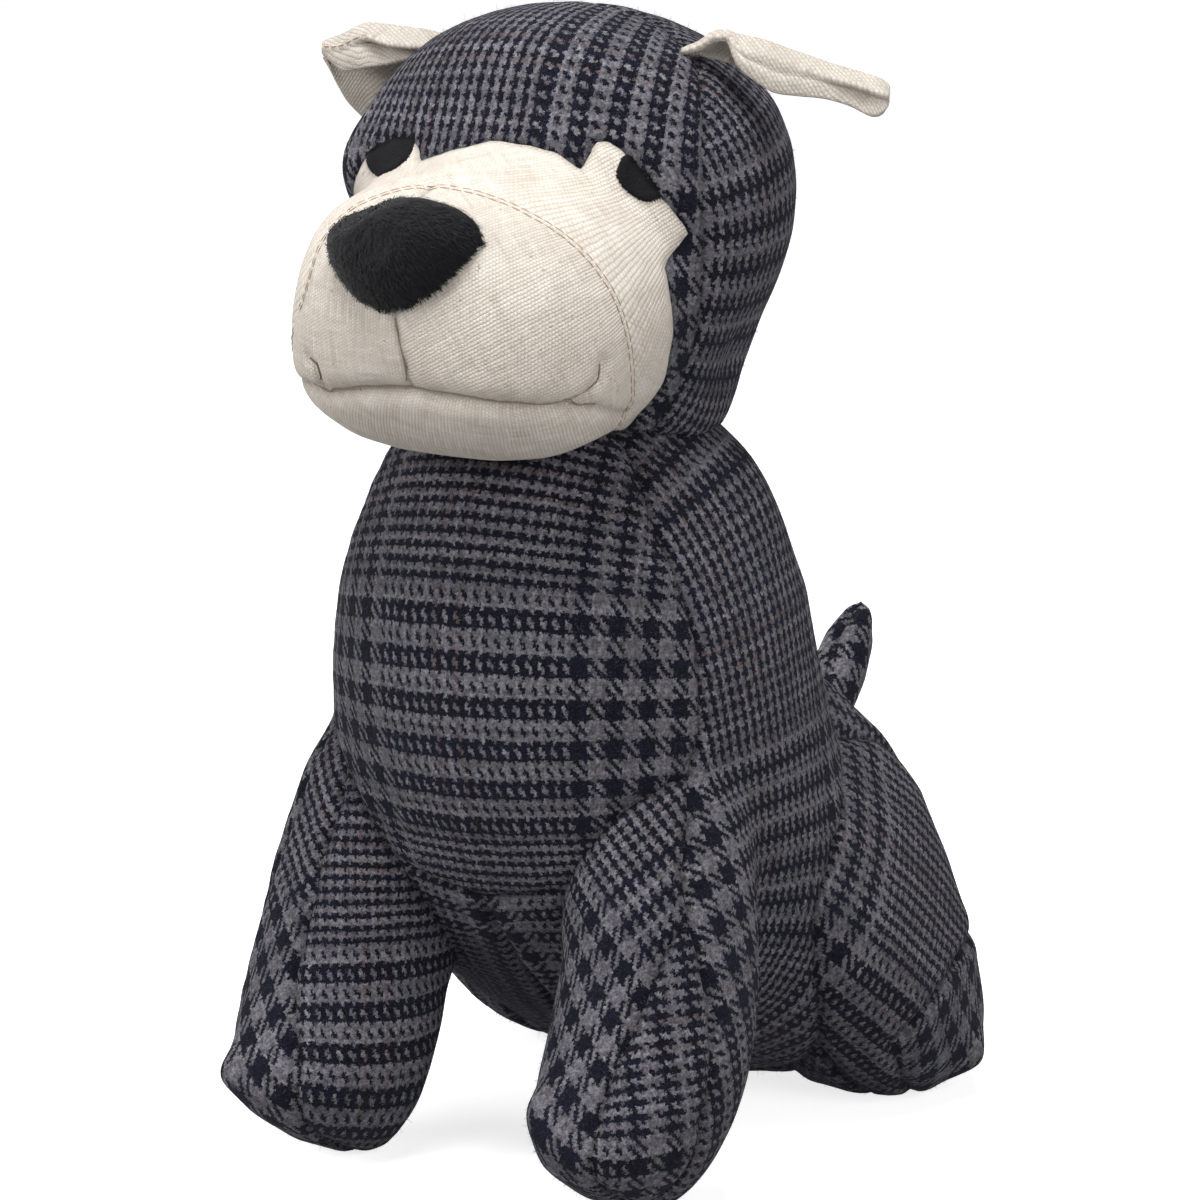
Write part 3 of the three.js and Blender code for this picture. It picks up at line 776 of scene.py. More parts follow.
TRUNK = (0, -8, 62)
LEG_L, LEG_R = (44, -52, 25), (-44, -52, 25)
HIND_L, HIND_R = (45, 60, 25), (-45, 60, 25)
TAIL = (0, 100, 9)
BODY_PANELS = {
    CHEST: Panel(TRUNK, -3, (29.5, -62, 149.4), (0, 66)),
    SIDE_L: Panel(TRUNK, 3, (60.5, -25.5, 109.3), (98, 66), 1.6, 2),
    SIDE_R: Panel(TRUNK, -3, (-60.5, -25.5, 109.3), (98, 66), -1.6, 2),
    BASE: Panel(None, 0, (0, 70, 0), (100, 20)),
    IN_L: Panel(LEG_L, 42, (30, -75, 45), (30, 30), -0.5),
    IN_R: Panel(LEG_R, 0, (-30, -66, 80), (98, 99), 0.5),
    STRIP_L: Panel(LEG_L, -2, (60, -66, 50), (20, 100), 0.7),
    STRIP_R: Panel(LEG_R, 35, (-52, -75, 30), (40, 40), -0.7),
    HAUNCH_L: Panel((20, 40, 50), 38, (68, 45, 60), (98, 100), 1.6),
    HAUNCH_R: Panel((-20, 40, 50), -38, (-68, 45, 60), (98, 100), -1.6),
    THIGH_L: Panel(HIND_L, 10, (25, 60, 40), (98, 30), -1.6),
    THIGH_R: Panel(HIND_R, -10, (-25, 60, 40), (98, 30), 1.6),
    TOE_L: Panel(HIND_L, 50, (72, 60, 20), (36, 36), 1.6),
    TOE_R: Panel(HIND_R, -50, (-72, 60, 20), (36, 36), -1.6),
    TAIL_L: Panel(TAIL, 30, (8, 110, 90), (36, 36), 1.6),
    TAIL_R: Panel(TAIL, 30, (-8, 110, 90), (36, 36), -1.6),
}

body = soft_form("body_cover", BODY_NODES, voxel=2.8, rounds=6)
BODY_PULLS = [
    ((-63, -84, 23), (-5, -3, 0), 7),
    ((29, -84, 30), (-4, -4, 2), 7),
    ((74, 66, 10), (5, 0, -2), 7),
    ((46, -6, 172), (3.2, 1.6, 1.5), 18),
]
set_points(body, pulled(get_points(body), BODY_PULLS))


PINNED_WIDTH = 1.5


def pinned_seams(obj, fields, label_of):
    values = fields(get_points(obj))
    faces = {name: face_means(obj, value) for name, value in values.items()}
    labels = label_of(face_means(obj, get_points(obj)), faces)
    away = seam_distance(obj, seam_edges(obj, labels)[0])
    return np.where(away < PINNED_WIDTH, 1.0, 0.0)


inflated(body, pinned_seams(body, body_fields, body_labels), pressure=4, cap=5)
subdivided(body)
sewn(body, body_fields, body_labels, BODY_PANELS, groove=1.4, puff=0.5)
body.data.materials.append(wool)
grounded = get_points(body)
grounded[:, 2] = np.maximum(grounded[:, 2], 0)
set_points(body, grounded)

# Head cover
# The band over the muzzle: how far round the muzzle from its top, and the place along y
BAND = [
    (-3.2, -60), (-2.6, -60), (-2.1, -70), (-1.8, -84), (-1.51, -91), (-1.29, -89.2), (-1.14, -87.2),
    (-0.96, -85.4), (-0.83, -83.8), (-0.61, -82.2), (-0.38, -81), (-0.2, -80), (0, -79), (0.21, -78.2),
    (0.4, -77.4), (0.58, -76.6), (0.75, -76), (0.88, -74.9), (1, -73.6), (1.13, -72.1), (1.24, -70.8),
    (1.35, -69.5), (1.45, -68.2), (1.56, -66.6), (1.67, -65.1), (1.79, -63.5), (1.92, -61.5), (2.12, -56.7),
    (2.4, -52), (3.2, -50),
]
# The hood's edge over each eye: how far out to the side, and the height
HOOD_LEFT = [
    (0, 261.4), (2.9, 261.2), (11, 260.3), (17.5, 258.6), (24.8, 254.6), (25.4, 258.8), (26.6, 260.9),
    (29, 260.9), (32.3, 258.8), (36, 254.8), (39.3, 250.2), (41.2, 247.6), (43.5, 244.5), (46.2, 239.4),
    (48, 234),
]
HOOD_RIGHT = [
    (0, 261.4), (5, 259.9), (13, 257.6), (21.5, 254.4), (22.4, 256.2), (24.2, 257.6), (26, 258.4),
    (28.5, 258.4), (32.8, 257.6), (38, 255.4), (42, 252.6), (45, 249.4), (47, 246), (48.5, 242),
    (50, 236),
]
# The seam down the cheek: the height, and the place along y
CHEEK = [
    (160, -42), (180, -41), (195.5, -39.5), (200, -38.2), (206, -40.2), (212, -42), (217, -41.8),
    (222, -42.7), (227, -43.6), (233, -43.8), (237, -38.9), (240.6, -37), (243, -33), (250, -25),
    (262, -15),
]
# The mouth seam's height across the muzzle, and how it drops towards the back
MOUTH_ACROSS = [
    (-32, 203.2), (-22, 203), (-11.8, 205.1), (-2, 206.5), (5, 207.2), (12.5, 206.4), (20, 205.8),
    (30, 204.8), (40, 204.4),
]
MOUTH_BACK = [(-78, 0), (-71, 1.7), (-61, 4.3), (-44, 8.5)]
# The seams under the nose and in front of the ears: the height, and the place along x or y
PHILTRUM = [(205, 4.5), (212, 4.6), (217, 3.9), (222, 2.8), (226, 1.9), (240, 0)]
CROWN = [
    (180, -35), (194.5, -33.7), (201, -32.5), (211, -31.8), (221, -32.6), (238.5, -34.1), (246.3, -34.9),
    (253, -34.1), (259.5, -33.3), (269, -28.9), (275.5, -24), (281, -17.1), (295, -6),
]
MUZZLE_AXIS = 225
ROLL = 0.05


def head_fields(points):
    x, y, z = points.T
    level = z - ROLL * np.maximum(x, 0)
    hood = np.where(x > 0, line(HOOD_LEFT, x), line(HOOD_RIGHT, -x)) - level
    philtrum = np.where(y < -60, line(PHILTRUM, z), 0)
    return {
        "patch": np.minimum(hood, line(CHEEK, z) - y),
        "band": line(BAND, np.arctan2(x, z - MUZZLE_AXIS)) - y,
        "mouth": line(MOUTH_ACROSS, x) - line(MOUTH_BACK, y) - z,
        "crown": line(CROWN, z) - y,
        "middle": x - philtrum + 0.01,
    }


CROWN_P, HEAD_L, HEAD_R, FACE, MUZZLE_L, MUZZLE_R, CHIN = range(7)


def head_labels(points, f):
    left = f["middle"] > 0
    labels = np.where(f["crown"] > 0, CROWN_P, np.where(left, HEAD_L, HEAD_R))
    labels = np.where(f["patch"] > 0, FACE, labels)
    snout = np.where(f["mouth"] > 0, CHIN, np.where(left, MUZZLE_L, MUZZLE_R))
    return np.where((f["band"] > 0) & (f["patch"] > 0), snout, labels)


SKULL = (0, -16, 54)
SNOUT = (0, -50, 45)
RIB = (1.1, 0.9)
FINE = (0.85, 0.85)
HEAD_PANELS = {
    CROWN_P: Panel(SKULL, 0, (9, -48, 265), (0, 80), 0, 2),
    HEAD_L: Panel(SKULL, 0, (54, -16, 254.5), (98, 66), 1.8, 2),
    HEAD_R: Panel(SKULL, 0, (-54, -16, 254.5), (98, 66), -1.8, 2),
    FACE: Panel((0, -40, 45), 62, (0, -55, 260), (0, 0), pitch=RIB),
    MUZZLE_L: Panel(SNOUT, 62, (20, -92, 220), (0, 0), 0.6, pitch=FINE),
    MUZZLE_R: Panel(SNOUT, 0, (-20, -92, 220), (0, 0), -0.6, pitch=FINE),
    CHIN: Panel(SNOUT, 12, (0, -80, 195), (0, 0), pitch=FINE),
}
head = soft_form("head_cover", HEAD_NODES, voxel=2.4, rounds=5)
DART_LEFT = [
    (45.1, -72.7, 214.4), (44.6, -73.1, 211.3), (43.3, -74.6, 208.1), (41.8, -76.2, 206),
    (39, -78.6, 204.4),
]
DART_RIGHT = [(-27.5, -92.2, 211.3), (-25, -92.9, 209.7), (-24.1, -92.2, 207.5), (-24.3, -91, 204)]
MOUTH = [
    (-30, -87, 203.2), (-22, -91, 202.8), (-11.8, -94, 205), (-2, -94.7, 206.5), (5, -94.7, 207.2),
    (12.5, -94.1, 206.4), (20, -92.8, 205.8), (30, -88, 204.8), (40, -78, 204.4), (42, -70, 202.6),
]
CREASES = [(DART_LEFT, 1.5, 1.5), (DART_RIGHT, 1.5, 1.5), (MOUTH, 1.3, 2.6)]


def creased(obj, creases):
    """Presses lines into a piece, each given by its points, its depth and its width."""
    points, normals = get_points(obj), get_normals(obj)
    for path, depth, width in creases:
        away = distance_from(even(path, 0.6), points)
        points = points - normals * (depth * bell(away, width))[:, None]
    set_points(obj, points)


HEAD_PULLS = [
    ((-21, -62, 256), (2, 0, -3.6), 12),
    ((-44, -34, 249), (-5, -3.2, 0), 14),
    ((-37, -82, 228), (2.2, 1.4, 0), 18),
    ((49, -8, 207), (-6, -3, 0), 17),
    ((0, -60, 172), (0, 6, 0), 22),
]
set_points(head, pulled(get_points(head), HEAD_PULLS))
inflated(head, pinned_seams(head, head_fields, head_labels), pressure=3, cap=3)
subdivided(head)
creased(head, CREASES)
FLAT_PAIRS = [(FACE, MUZZLE_L), (FACE, MUZZLE_R), (FACE, CHIN)]
head_panels, band_edges = sewn(
    head, head_fields, head_labels, HEAD_PANELS, groove=0.8, puff=0.3, flat_pairs=FLAT_PAIRS
)
head.data.materials.append(wool)
head.data.materials.append(linen)
is_linen = np.isin(head_panels, (FACE, MUZZLE_L, MUZZLE_R, CHIN)).astype(np.int32)
head.data.polygons.foreach_set("material_index", is_linen)

for obj, nodes in ((body, BODY_NODES), (head, HEAD_NODES)):
    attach(obj, "root")
    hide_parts(*nodes)


# Ears: one flap of lined cloth each, folded over along its top.
# Each record: place along x, top, lip, front hem, back hem, fold radius, pleat under the lip, forward lift
EAR_LEFT = [
    (33.5, 281.3, 281.0, 280.7, 280.6, 0.7, 0, 0),
    (35.4, 282.2, 281.6, 281.0, 280.6, 1.0, 0, 0),
    (38.5, 283.6, 282.8, 281.8, 280.4, 1.3, 0, 0),
    (42.2, 286.2, 285.0, 283.9, 280.0, 1.6, 0, 0),
    (45.6, 286.7, 285.4, 284.4, 279.4, 1.8, 0, 0),
    (46.8, 286.4, 284.6, 283.0, 279.0, 2.2, 0, 0.2),
    (47.8, 286.1, 283.3, 280.2, 278.6, 2.7, 0, 0.6),
    (49.2, 285.9, 282.2, 277.9, 278.0, 3.0, 0, 0.8),
    (51.0, 285.7, 281.4, 276.2, 277.6, 3.2, 0, 0.9),
    (54.6, 285.2, 280.2, 274.2, 276.8, 3.3, 0, 0.9),
    (58.6, 284.3, 279.0, 272.3, 276.0, 3.2, 0, 0.8),
    (65.2, 282.5, 278.2, 272.0, 275.0, 3.0, 0, 0.6),
    (72.0, 280.9, 277.0, 271.9, 274.4, 2.8, 0.2, 0.4),
    (78.5, 279.5, 275.9, 270.4, 273.6, 2.6, 0.8, 0.2),
    (84.3, 278.1, 274.4, 268.3, 272.4, 2.4, 0.9, 0.4),
    (87.3, 277.2, 273.8, 269.6, 272.0, 2.0, 0.6, 0.4),
    (88.6, 275.6, 273.4, 271.6, 272.4, 1.3, 0.2, 0),
]
EAR_RIGHT = [
    (-32.0, 280.6, 276.8, 275.0, 268.0, 2.6, 1.0, 0),
    (-36.6, 281.1, 276.9, 275.6, 265.0, 2.8, 1.1, 0),
    (-40.8, 281.5, 276.8, 274.6, 262.8, 3.0, 1.3, 0),
    (-46.4, 281.8, 276.8, 272.9, 260.2, 3.2, 1.6, 0.2),
    (-50.5, 282.0, 277.2, 271.8, 258.6, 3.3, 1.6, 0.4),
    (-54.7, 282.1, 278.3, 270.9, 257.9, 3.3, 1.0, 0.7),
    (-57.0, 281.6, 278.2, 270.4, 258.6, 3.2, 0.4, 0.9),
    (-59.4, 280.5, 277.4, 269.9, 260.4, 3.0, 0, 0.9),
    (-61.9, 279.1, 276.0, 269.7, 262.8, 2.7, 0, 0.7),
    (-64.4, 278.1, 275.2, 271.0, 266.4, 2.3, 0, 0.4),
    (-66.6, 277.3, 275.0, 272.9, 270.4, 1.8, 0, 0.1),
    (-68.0, 276.4, 275.0, 274.2, 273.2, 1.1, 0, 0),
]
# How far a flap leans sideways and up as it comes forward, where its root lies, and the point of its
# cut where the lip is
LEAN_X, LEAN_Z = 0.62, 0.23
ROOT_X = 34
LIP_COLUMN = 19
LINED_CLOTH = 1.6


def spline(points, samples):
    """A smooth curve through the points, with even samples between each two."""
    points = np.asarray(points, float)
    padded = np.vstack([2 * points[0] - points[1], points, 2 * points[-1] - points[-2]])
    t = np.linspace(0, 1, samples, endpoint=False)[:, None]
    rows = []
    for k in range(1, len(padded) - 2):
        a, b, c, d = padded[k - 1 : k + 3]
        bend = t**2 * (2 * a - 5 * b + 4 * c - d) / 2 + t**3 * (3 * b - a - 3 * c + d) / 2
        rows.append(b + t * (c - a) / 2 + bend)
    return np.vstack([*rows, padded[-2]])


def ear_section(record, y):
    """The flap cut across: up its back, over the fold and down its front, with a pleat under the lip."""
    x, top, lip, hem, back, radius, pleat, lift = record
    path = [
        (-radius, back),
        (-radius - 0.4, (back + top) / 2 - radius / 2),
        (-radius, top - 1.5 * radius),
        (0, top),
        (radius, top - radius),
        (radius + 0.5 + 0.4 * pleat, 0.3 * top - 0.3 * radius + 0.7 * lip),
        (radius + 0.6 + 0.5 * pleat, lip),
        (radius + 0.6 - 1.7 * pleat, lip - 0.25 * (lip - hem) + 1.4 * pleat),
        (radius + 0.4 - 1.2 * pleat + lift, (lip + hem) / 2),
        (radius + 0.2 + lift, hem),
    ]
    curve = spline(path, 3)
    forward, up = curve.T
    return np.stack([x + LEAN_X * forward, y - forward, up + LEAN_Z * forward], 1)


def ear(name, records, root_y, slope, turn, pitch):
    rows = spline(records, 3)
    grid = np.array([ear_section(row, root_y + slope * (abs(row[0]) - ROOT_X)) for row in rows])
    count, width = grid.shape[:2]
    grid += 0.35 * lumpy(grid.reshape(-1, 3), 7, 2).reshape(count, width, 1) * np.array([0.3, 1, 0.4])
    index = np.arange(count * width).reshape(count, width)
    quads = np.stack([index[:-1, :-1], index[1:, :-1], index[1:, 1:], index[:-1, 1:]], -1).reshape(-1, 4)
    if records[-1][0] > 0:
        quads = quads[:, ::-1]
    made = new_object(name, grid.reshape(-1, 3), quads)
    across = np.zeros((count, width))
    across[:, 1:] = np.cumsum(np.linalg.norm(np.diff(grid, axis=1), axis=2), axis=1)
    across -= across[:, width // 3][:, None]
    along = np.zeros((count, width))
    along[1:] = np.cumsum(np.linalg.norm(np.diff(grid, axis=0), axis=2).mean(1))[:, None]
    place = (along + 1j * across).ravel() * np.exp(1j * math.radians(turn))
    corners = fetched(made.data.loops, "vertex_index", kind=np.int32)
    layer = made.data.uv_layers.new(name="weave")
    uv = (np.stack([place.real, place.imag], 1) / pitch + FIRST_YARN)[corners]
    layer.data.foreach_set("uv", uv.ravel())
    thick = made.modifiers.new("thickness", "SOLIDIFY")
    thick.thickness = LINED_CLOTH / 1000
    thick.offset = 0
    subdivided(made)
    shade_smooth(made)
    return made, grid


ear_left, _ = ear("ear_left_flap", EAR_LEFT, root_y=-19, slope=4 / 54, turn=48, pitch=1.1)
ear_right, right_grid = ear("ear_right_flap", EAR_RIGHT, root_y=-21.2, slope=-0.1, turn=-50, pitch=1.1)
for obj in (ear_left, ear_right):
    obj.data.materials.append(shaded_ear_linen)


# Threads, and dark lines of painted shade in the seams of the face
def unit(vectors):
    """Each row with the length 1."""
    return vectors / np.linalg.norm(vectors, axis=1)[:, None]


def tube_rings(points, radius, sides):
    """Rings of a tube along a path, drawn in to a round end at both ends."""
    points = np.asarray(points, float)
    along = unit(np.gradient(points, axis=0))
    other = unit(np.cross(along, [0.3, 0.5, 0.8]))
    third = np.cross(along, other)
    scale = np.full((len(points), 1, 1), radius)
    scale[[0, -1]] *= 0.35
    angles = np.arange(sides)[None, :, None] * 2 * math.pi / sides
    around = np.cos(angles) * other[:, None] + np.sin(angles) * third[:, None]
    return (points[:, None] + scale * around).reshape(-1, 3)


def tubes(name, paths, radius, sides):
    points, faces, start = [], [], 0
    for path in paths:
        rings = tube_rings(path, radius, sides)
        points.append(rings)
        last = start + len(rings) - sides
        for a in range(start, last, sides):
            for k in range(sides):
                b = (k + 1) % sides
                faces.append((a + k, a + b, a + b + sides, a + k + sides))
        faces.append(tuple(range(start, start + sides))[::-1])
        faces.append(tuple(range(last, last + sides)))
        start += len(rings)
    made = new_object(name, np.vstack(points), faces)
    shade_smooth(made)
    return made


def stitches(path, length, gap, depth):
    """Short arcs along a path: each stitch dips into the cloth at both ends."""
    at = lengths_along(path)
    found = []
    start = gap
    while start + length < at[-1]:
        s = np.linspace(start, start + length, 5)
        points = np.stack([np.interp(s, at, path[:, k]) for k in range(6)], 1)
        lift = depth * (np.sin(np.linspace(0, math.pi, 5)) - 0.6)
        found.append(points[:, :3] + points[:, 3:] * lift[:, None])
        start += length + gap
    return found


def chained(obj, edge_indices):
    """The longest run of joined edges as a list of vertex indices."""
    edges = edge_array(obj)[edge_indices]
    near = {}
    for a, b in edges.tolist():
        near.setdefault(a, []).append(b)
        near.setdefault(b, []).append(a)
    best = []
    left = set(near)
    while left:
        ends = [v for v in left if len(near[v]) == 1]
        run = [min(ends) if ends else min(left)]
        left.discard(run[0])
        while True:
            options = [v for v in near[run[-1]] if v in left]
            if not options:
                break
            run.append(options[0])
            left.discard(options[0])
        if len(run) > len(best):
            best = run
    return best


head_tree = BVHTree.FromPolygons(get_points(head).tolist(), [list(p.vertices) for p in head.data.polygons])


def on_head(points):
    """The nearest places on the head and the way out there."""
    hits = [head_tree.find_nearest(Vector(p)) for p in np.asarray(points).tolist()]
    return np.array([[*h[0], *h[1]] for h in hits])


def beside(path, distance):
    """A path moved sideways over the head."""
    side = np.cross(unit(np.gradient(path[:, :3], axis=0)), path[:, 3:])
    return on_head(path[:, :3] + distance * side)


def steadied(path, reach):
    """Each point becomes the mean of itself and its neighbours within reach."""
    share = np.ones(2 * reach + 1) / (2 * reach + 1)
    return np.array([np.convolve(np.pad(column, reach, "edge"), share, "valid") for column in path.T]).T


band_line = steadied(even(get_points(head)[chained(head, band_edges)], 1.5), 4)
band_path = on_head(even(band_line, 1.0))
thread_paths = []
for distance in (-0.65, 0.65):
    thread_paths += stitches(beside(band_path, distance), length=3.1, gap=0.07, depth=0.13)
lip = right_grid[:, LIP_COLUMN]
lip_normal = np.tile([0.4, -0.8, 0.25], (len(lip), 1))
lip_path = np.hstack([lip + [0.3, -0.75, 0.9], lip_normal])
thread_paths += stitches(lip_path, length=2.0, gap=0.5, depth=0.22)
topstitch = tubes("topstitching", thread_paths, radius=0.17, sides=6)
topstitch.data.materials.append(plain("stitch_thread", (0.42, 0.32, 0.24)))


def seam_path(places):
    """A dark line of painted shade in a seam of the face, lying just on the cloth."""
    laid = steadied(on_head(even(on_head(places)[:, :3], 0.5)), 5)
    return laid[:, :3] + 0.1 * laid[:, 3:]


# Painted shade: dark tubes laid along the creases of the darts, the mouth and the philtrum.
seam_paths = [seam_path(even(path, 0.5)) for path, _, _ in CREASES]
seam_paths.append(seam_path([(line(PHILTRUM, z), -97, z) for z in np.linspace(206.8, 226, 12)]))
seam_shade_lines = tubes("seam_shade_lines", seam_paths, radius=0.2, sides=8)
seam_shade_lines.data.materials.append(plain("seam_crease_shade", (0.3, 0.225, 0.17)))


# Eyes: black embroidery, a raised satin ring round a flat filling
SPOKES, RINGS = 132, 16
# The satin ring: the shares of the way out where it begins and where its crown lies, its half width
# as a share, its height, and how far every other thread stands out
SATIN_START, SATIN_CROWN, SATIN_WIDTH = 0.62, 0.8, 0.2
SATIN_HEIGHT, THREAD_STEP = 0.62, 0.26


def eye(name, centre, half_wide, half_high, tilt):
    """Laid on the face. What the hood covers is left out."""
    seat = on_head([centre])[0]
    origin, out = seat[:3], seat[3:]
    across = np.cross([0, 0, 1], out)
    across /= np.linalg.norm(across)
    if across[0] < 0:
        across = -across
    up = np.cross(out, across)
    up *= np.sign(up[2])
    cosine, sine = math.cos(tilt), math.sin(tilt)
    across, up = cosine * across + sine * up, cosine * up - sine * across
    angles = np.arange(SPOKES) * 2 * math.pi / SPOKES
    every_other = np.arange(SPOKES) % 2
    points, heights = [], []
    for r in range(1, RINGS + 1):
        share = r / RINGS
        ragged = 1 + (0.06 * rng.uniform(-1, 1, SPOKES) if r == RINGS else 0)
        flat = share * ragged * np.stack([half_wide * np.cos(angles), half_high * np.sin(angles)])
        points.append(origin + flat[0][:, None] * across + flat[1][:, None] * up)
        ring_at = (share - SATIN_CROWN) / SATIN_WIDTH
        satin = SATIN_HEIGHT * math.sqrt(max(1 - ring_at**2, 0))
        satin = satin + THREAD_STEP * every_other * (abs(ring_at) < 1)
        filling = 0.35 + 0.1 * np.sin(flat[1] * 9 + flat[0] * 2)
        edge = -0.4 if r == RINGS else 0
        heights.append(np.where(share > SATIN_START, satin, filling) + edge)
    seats = on_head(np.vstack(points))
    laid = seats[:, :3] + seats[:, 3:] * np.concatenate(heights)[:, None]
    middle = on_head([origin])[0]
    laid = np.vstack([laid, middle[:3] + middle[3:] * 0.35])
    faces = []
    for r in range(RINGS - 1):
        for k in range(SPOKES):
            a, b = r * SPOKES + k, r * SPOKES + (k + 1) % SPOKES
            faces.append((a, a + SPOKES, b + SPOKES, b))
    for k in range(SPOKES):
        faces.append((RINGS * SPOKES, k, (k + 1) % SPOKES))
    shown = head_fields(seats[:, :3])["patch"] > -0.9
    shown = np.append(shown, True)
    faces = [f for f in faces if all(shown[i] for i in f)]
    made = new_object(name, laid, faces)
    shade_smooth(made)
    made.data.materials.append(satin_thread)
    return made


SATIN_BLACK = ((0.001, 0.001, 0.0015), (0.013, 0.013, 0.015))
satin_thread = speckled(
    "eye_thread", *SATIN_BLACK, scale=2200, detail=2, relief=0.0003, strength=1.0, roughness=0.7
)
eye_left = eye("eye_left_stitching", (37.8, -43.6, 254.3), half_wide=6.9, half_high=6.8, tilt=-0.35)
eye_right = eye("eye_right_stitching", (-32.6, -45.6, 254.2), half_wide=9.4, half_high=6.6, tilt=0.1)


# Nose: a stuffed patch of short black fleece
def nose_piece():
    made = new_object("nose_fleece", *node_mesh("nose"))
    remeshed(made, 1.1)
    points = averaged(get_points(made), edge_array(made), 5)
    middle = points.mean(0)
    points = middle + (points - middle) * np.array([0.93, 0.98, 0.93])
    points += [-0.4, 0, -0.2]
    points = pulled(points, [(middle + [-15, 0, 10], (3.4, 0, -4.2), 9)])
    set_points(made, points)
    shade_smooth(made)
    return made


def tufts(name, roots, out, comb, lengths, width, rise):
    """Short tapered hairs: each starts just under the surface, leans with the comb and curls back."""
    side = unit(np.cross(comb, out))
    reach = lengths[:, None]
    levels = []
    for t, wide in ((0, 1), (0.4, 0.9), (0.75, 0.6)):
        centre = roots + reach * (t * 0.8 * comb + rise * (t - 0.8 * t**2) * out) - 0.25 * out
        levels += [centre - side * width * wide / 2, centre + side * width * wide / 2]
    levels.append(roots + reach * (0.8 * comb + 0.2 * rise * out) - 0.25 * out)
    faces = []
    for s in range(0, len(levels) * len(roots), len(levels)):
        faces += [(s, s + 1, s + 3, s + 2), (s + 2, s + 3, s + 5, s + 4), (s + 4, s + 5, s + 6)]
    made = new_object(name, np.stack(levels, 1).reshape(-1, 3), faces)
    shade_smooth(made)
    return made


def nose_hairs(obj, count):
    """Combed outwards and down."""
    points, normals = get_points(obj), get_normals(obj)
    chosen = rng.choice(np.nonzero(normals[:, 1] < 0.35)[0], count)
    roots, out = points[chosen] + rng.normal(0, 0.35, (count, 3)), normals[chosen]
    away = (roots - points.mean(0) - [0, 0, 5]) * [1, 0.3, 1]
    away -= (away * out).sum(1)[:, None] * out
    away /= np.linalg.norm(away, axis=1)[:, None] + 1e-6
    comb = 0.6 * away + rng.normal(0, 0.25, (count, 3)) + [0.45, 0, -0.3]
    lengths = 1.7 * rng.uniform(0.6, 1.1, count)
    return tufts("nose_pile", roots, out, comb, lengths, width=0.22, rise=0.5)


def nap(name, obj, count, allowed):
    """The loose fibres that stand off brushed wool."""
    points, normals = get_points(obj), get_normals(obj)
    chosen = rng.choice(np.nonzero(allowed)[0], count)
    out = normals[chosen]
    roots = points[chosen] + rng.uniform(-0.6, 0.6, (count, 3))
    roots -= ((roots - points[chosen]) * out).sum(1)[:, None] * out
    comb = rng.normal(0, 0.7, (count, 3)) + 0.35 * out
    return tufts(name, roots, out, comb, rng.uniform(0.7, 1.6, count), width=0.085, rise=0.7)


FLEECE_BLACK = ((0.003, 0.003, 0.004), (0.015, 0.015, 0.017))
nose = nose_piece()
nose_fur = nose_hairs(nose, 19000)
fleece = speckled(
    "nose_fleece_black",
    *FLEECE_BLACK,
    scale=700,
    detail=2,
    relief=0.0003,
    strength=0.6,
    roughness=0.6,
    sheen=0.12,
    sheen_roughness=0.4,
)
nose.data.materials.append(fleece)
nose_fur.data.materials.append(fleece)

wool_fibre = plain("wool_fibre", (0.1, 0.098, 0.108))
body_nap = nap("body_nap", body, 24000, get_points(body)[:, 2] > 3)
wool_side = np.ones(len(head.data.vertices), bool)
for polygon, shown in zip(head.data.polygons, is_linen):
    if shown:
        wool_side[list(polygon.vertices)] = False
head_nap = nap("head_nap", head, 9000, wool_side)
for obj in (body_nap, head_nap):
    obj.data.materials.append(wool_fibre)

for obj, nodes, slot in (
    (body_nap, [], "wool_cloth"),
    (head_nap, [], "wool_cloth"),
    (ear_left, ["ear_left"], "linen"),
    (ear_right, ["ear_right"], "linen"),
    (eye_left, ["eye_left"], "eye_thread"),
    (eye_right, ["eye_right"], "eye_thread"),
    (nose, ["nose"], "nose_fleece"),
    (nose_fur, [], "nose_fleece"),
    (topstitch, [], "linen"),
    (seam_shade_lines, [], "linen"),
):
    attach(obj, "root")
    if nodes:
        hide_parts(*nodes)


# Light, floor and camera
def lamp(name, place, size, power, target=(0, -0.07, 0.14)):
    data = bpy.data.lights.new(name, "AREA")
    data.size = size
    data.energy = power
    made = bpy.data.objects.new(name, data)
    made.location = place
    made.rotation_euler = (Vector(target) - Vector(place)).to_track_quat("-Z", "Y").to_euler()
    bpy.context.collection.objects.link(made)


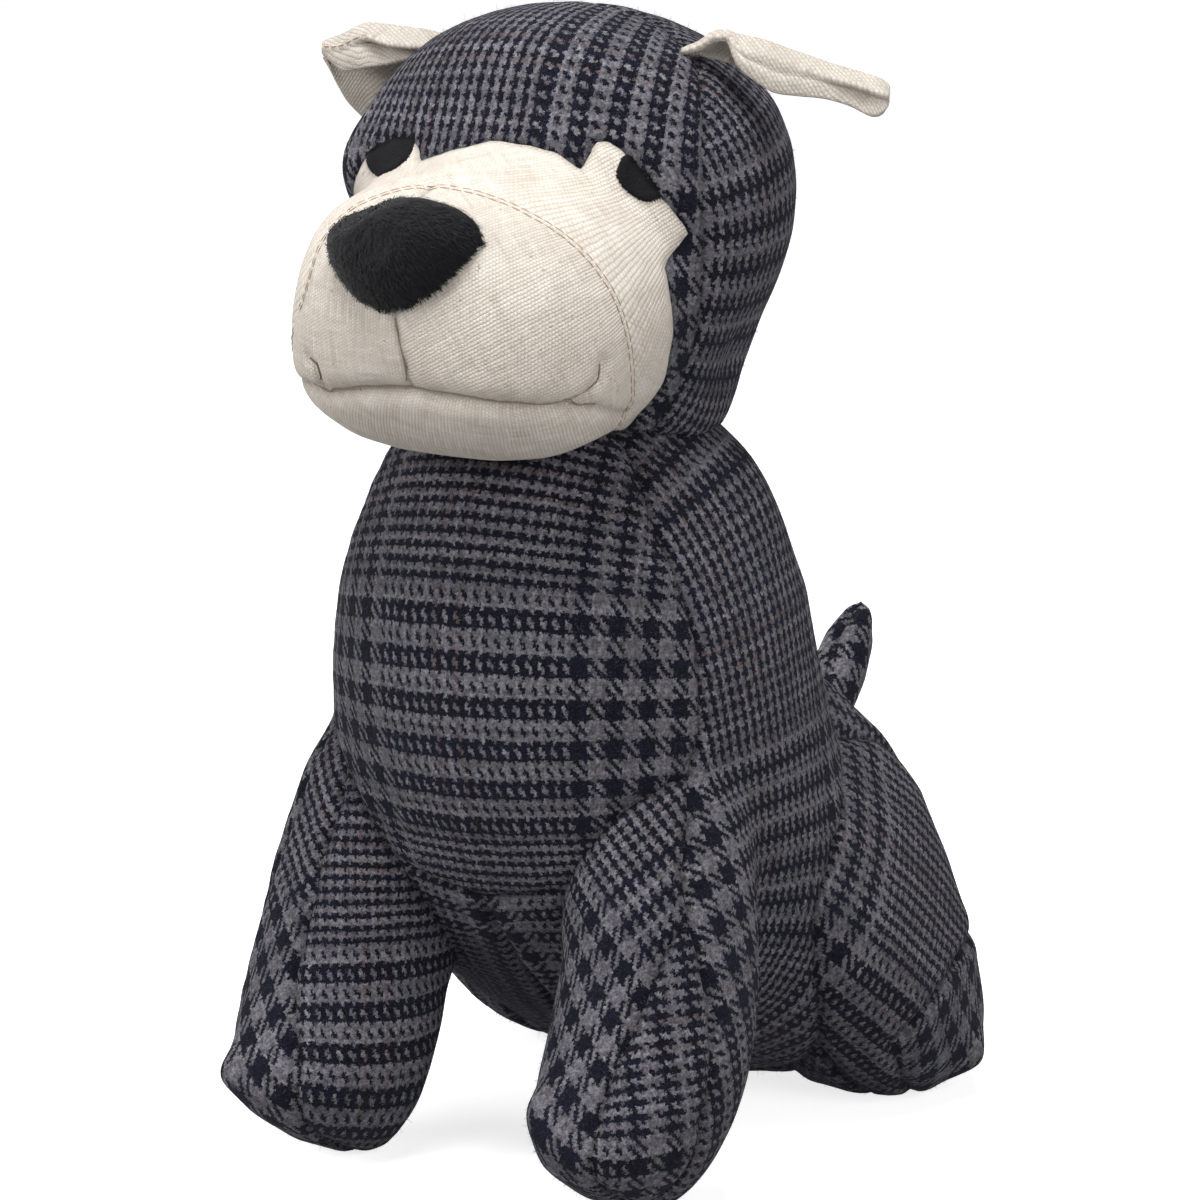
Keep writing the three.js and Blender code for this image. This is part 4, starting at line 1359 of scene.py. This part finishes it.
bpy.context.scene.view_settings.view_transform = "Standard"
lamp("overhead", (0.15, -0.5, 1.95), 0.9, 35)
lamp("right", (1.75, -0.9, 0.95), 1.0, 20)
lamp("left", (-1.35, -1.35, 0.95), 1.0, 24)
studio = Nodes(bpy.data.worlds.new("studio"))
bpy.context.scene.world = studio.owner
background = studio.tree.nodes["Background"]
studio.put((1, 1, 1), background.inputs["Color"])
studio.put(0.06, background.inputs["Strength"])
white = studio.add("ShaderNodeBackground", (1, 1, 1), 1)
surface = studio.add("ShaderNodeMixShader", studio.direct_ray(), background.outputs[0], white.outputs[0])
studio.put(surface.outputs[0], studio.tree.nodes["World Output"].inputs["Surface"])


def floor_material():
    """Pale and matt. To the camera it also gives a little light of its own, and so it shows white
    outside the object's shadow."""
    n = Nodes(bpy.data.materials.new("pale_floor"))
    n.finish((0.8, 0.8, 0.8), None, 1.0)
    glow = n.add("ShaderNodeEmission", (1, 1, 1), 0.79)
    pale = n.tree.nodes["Principled BSDF"]
    lit = n.add("ShaderNodeAddShader", pale.outputs[0], glow.outputs[0])
    bounce = n.add("ShaderNodeBsdfDiffuse", (0.3, 0.3, 0.3))
    own = n.add("ShaderNodeMixShader", n.direct_ray(), bounce.outputs[0], lit.outputs[0])
    n.put(own.outputs[0], n.tree.nodes["Material Output"].inputs["Surface"])
    return n.owner


floor_mesh = bpy.data.meshes.new("floor")
floor_mesh.from_pydata([(-9, -9, 0), (9, -9, 0), (9, 9, 0), (-9, 9, 0)], [], [(0, 1, 2, 3)])
floor = bpy.data.objects.new("floor", floor_mesh)
bpy.context.collection.objects.link(floor)
floor_mesh.materials.append(floor_material())

camera_data = bpy.data.cameras.new("camera")
camera_data.lens = 177.75
camera_data.sensor_width = 36
camera_data.sensor_fit = "HORIZONTAL"
camera_data.shift_x = -0.005
camera_data.clip_start = 0.05
camera = bpy.data.objects.new("camera", camera_data)
camera.location = (0.7745, -1.3095, 0.4744)
aim = Vector((0, -0.07, 0.137)) - camera.location
camera.rotation_euler = aim.to_track_quat("-Z", "Y").to_euler()
bpy.context.collection.objects.link(camera)
bpy.context.scene.camera = camera
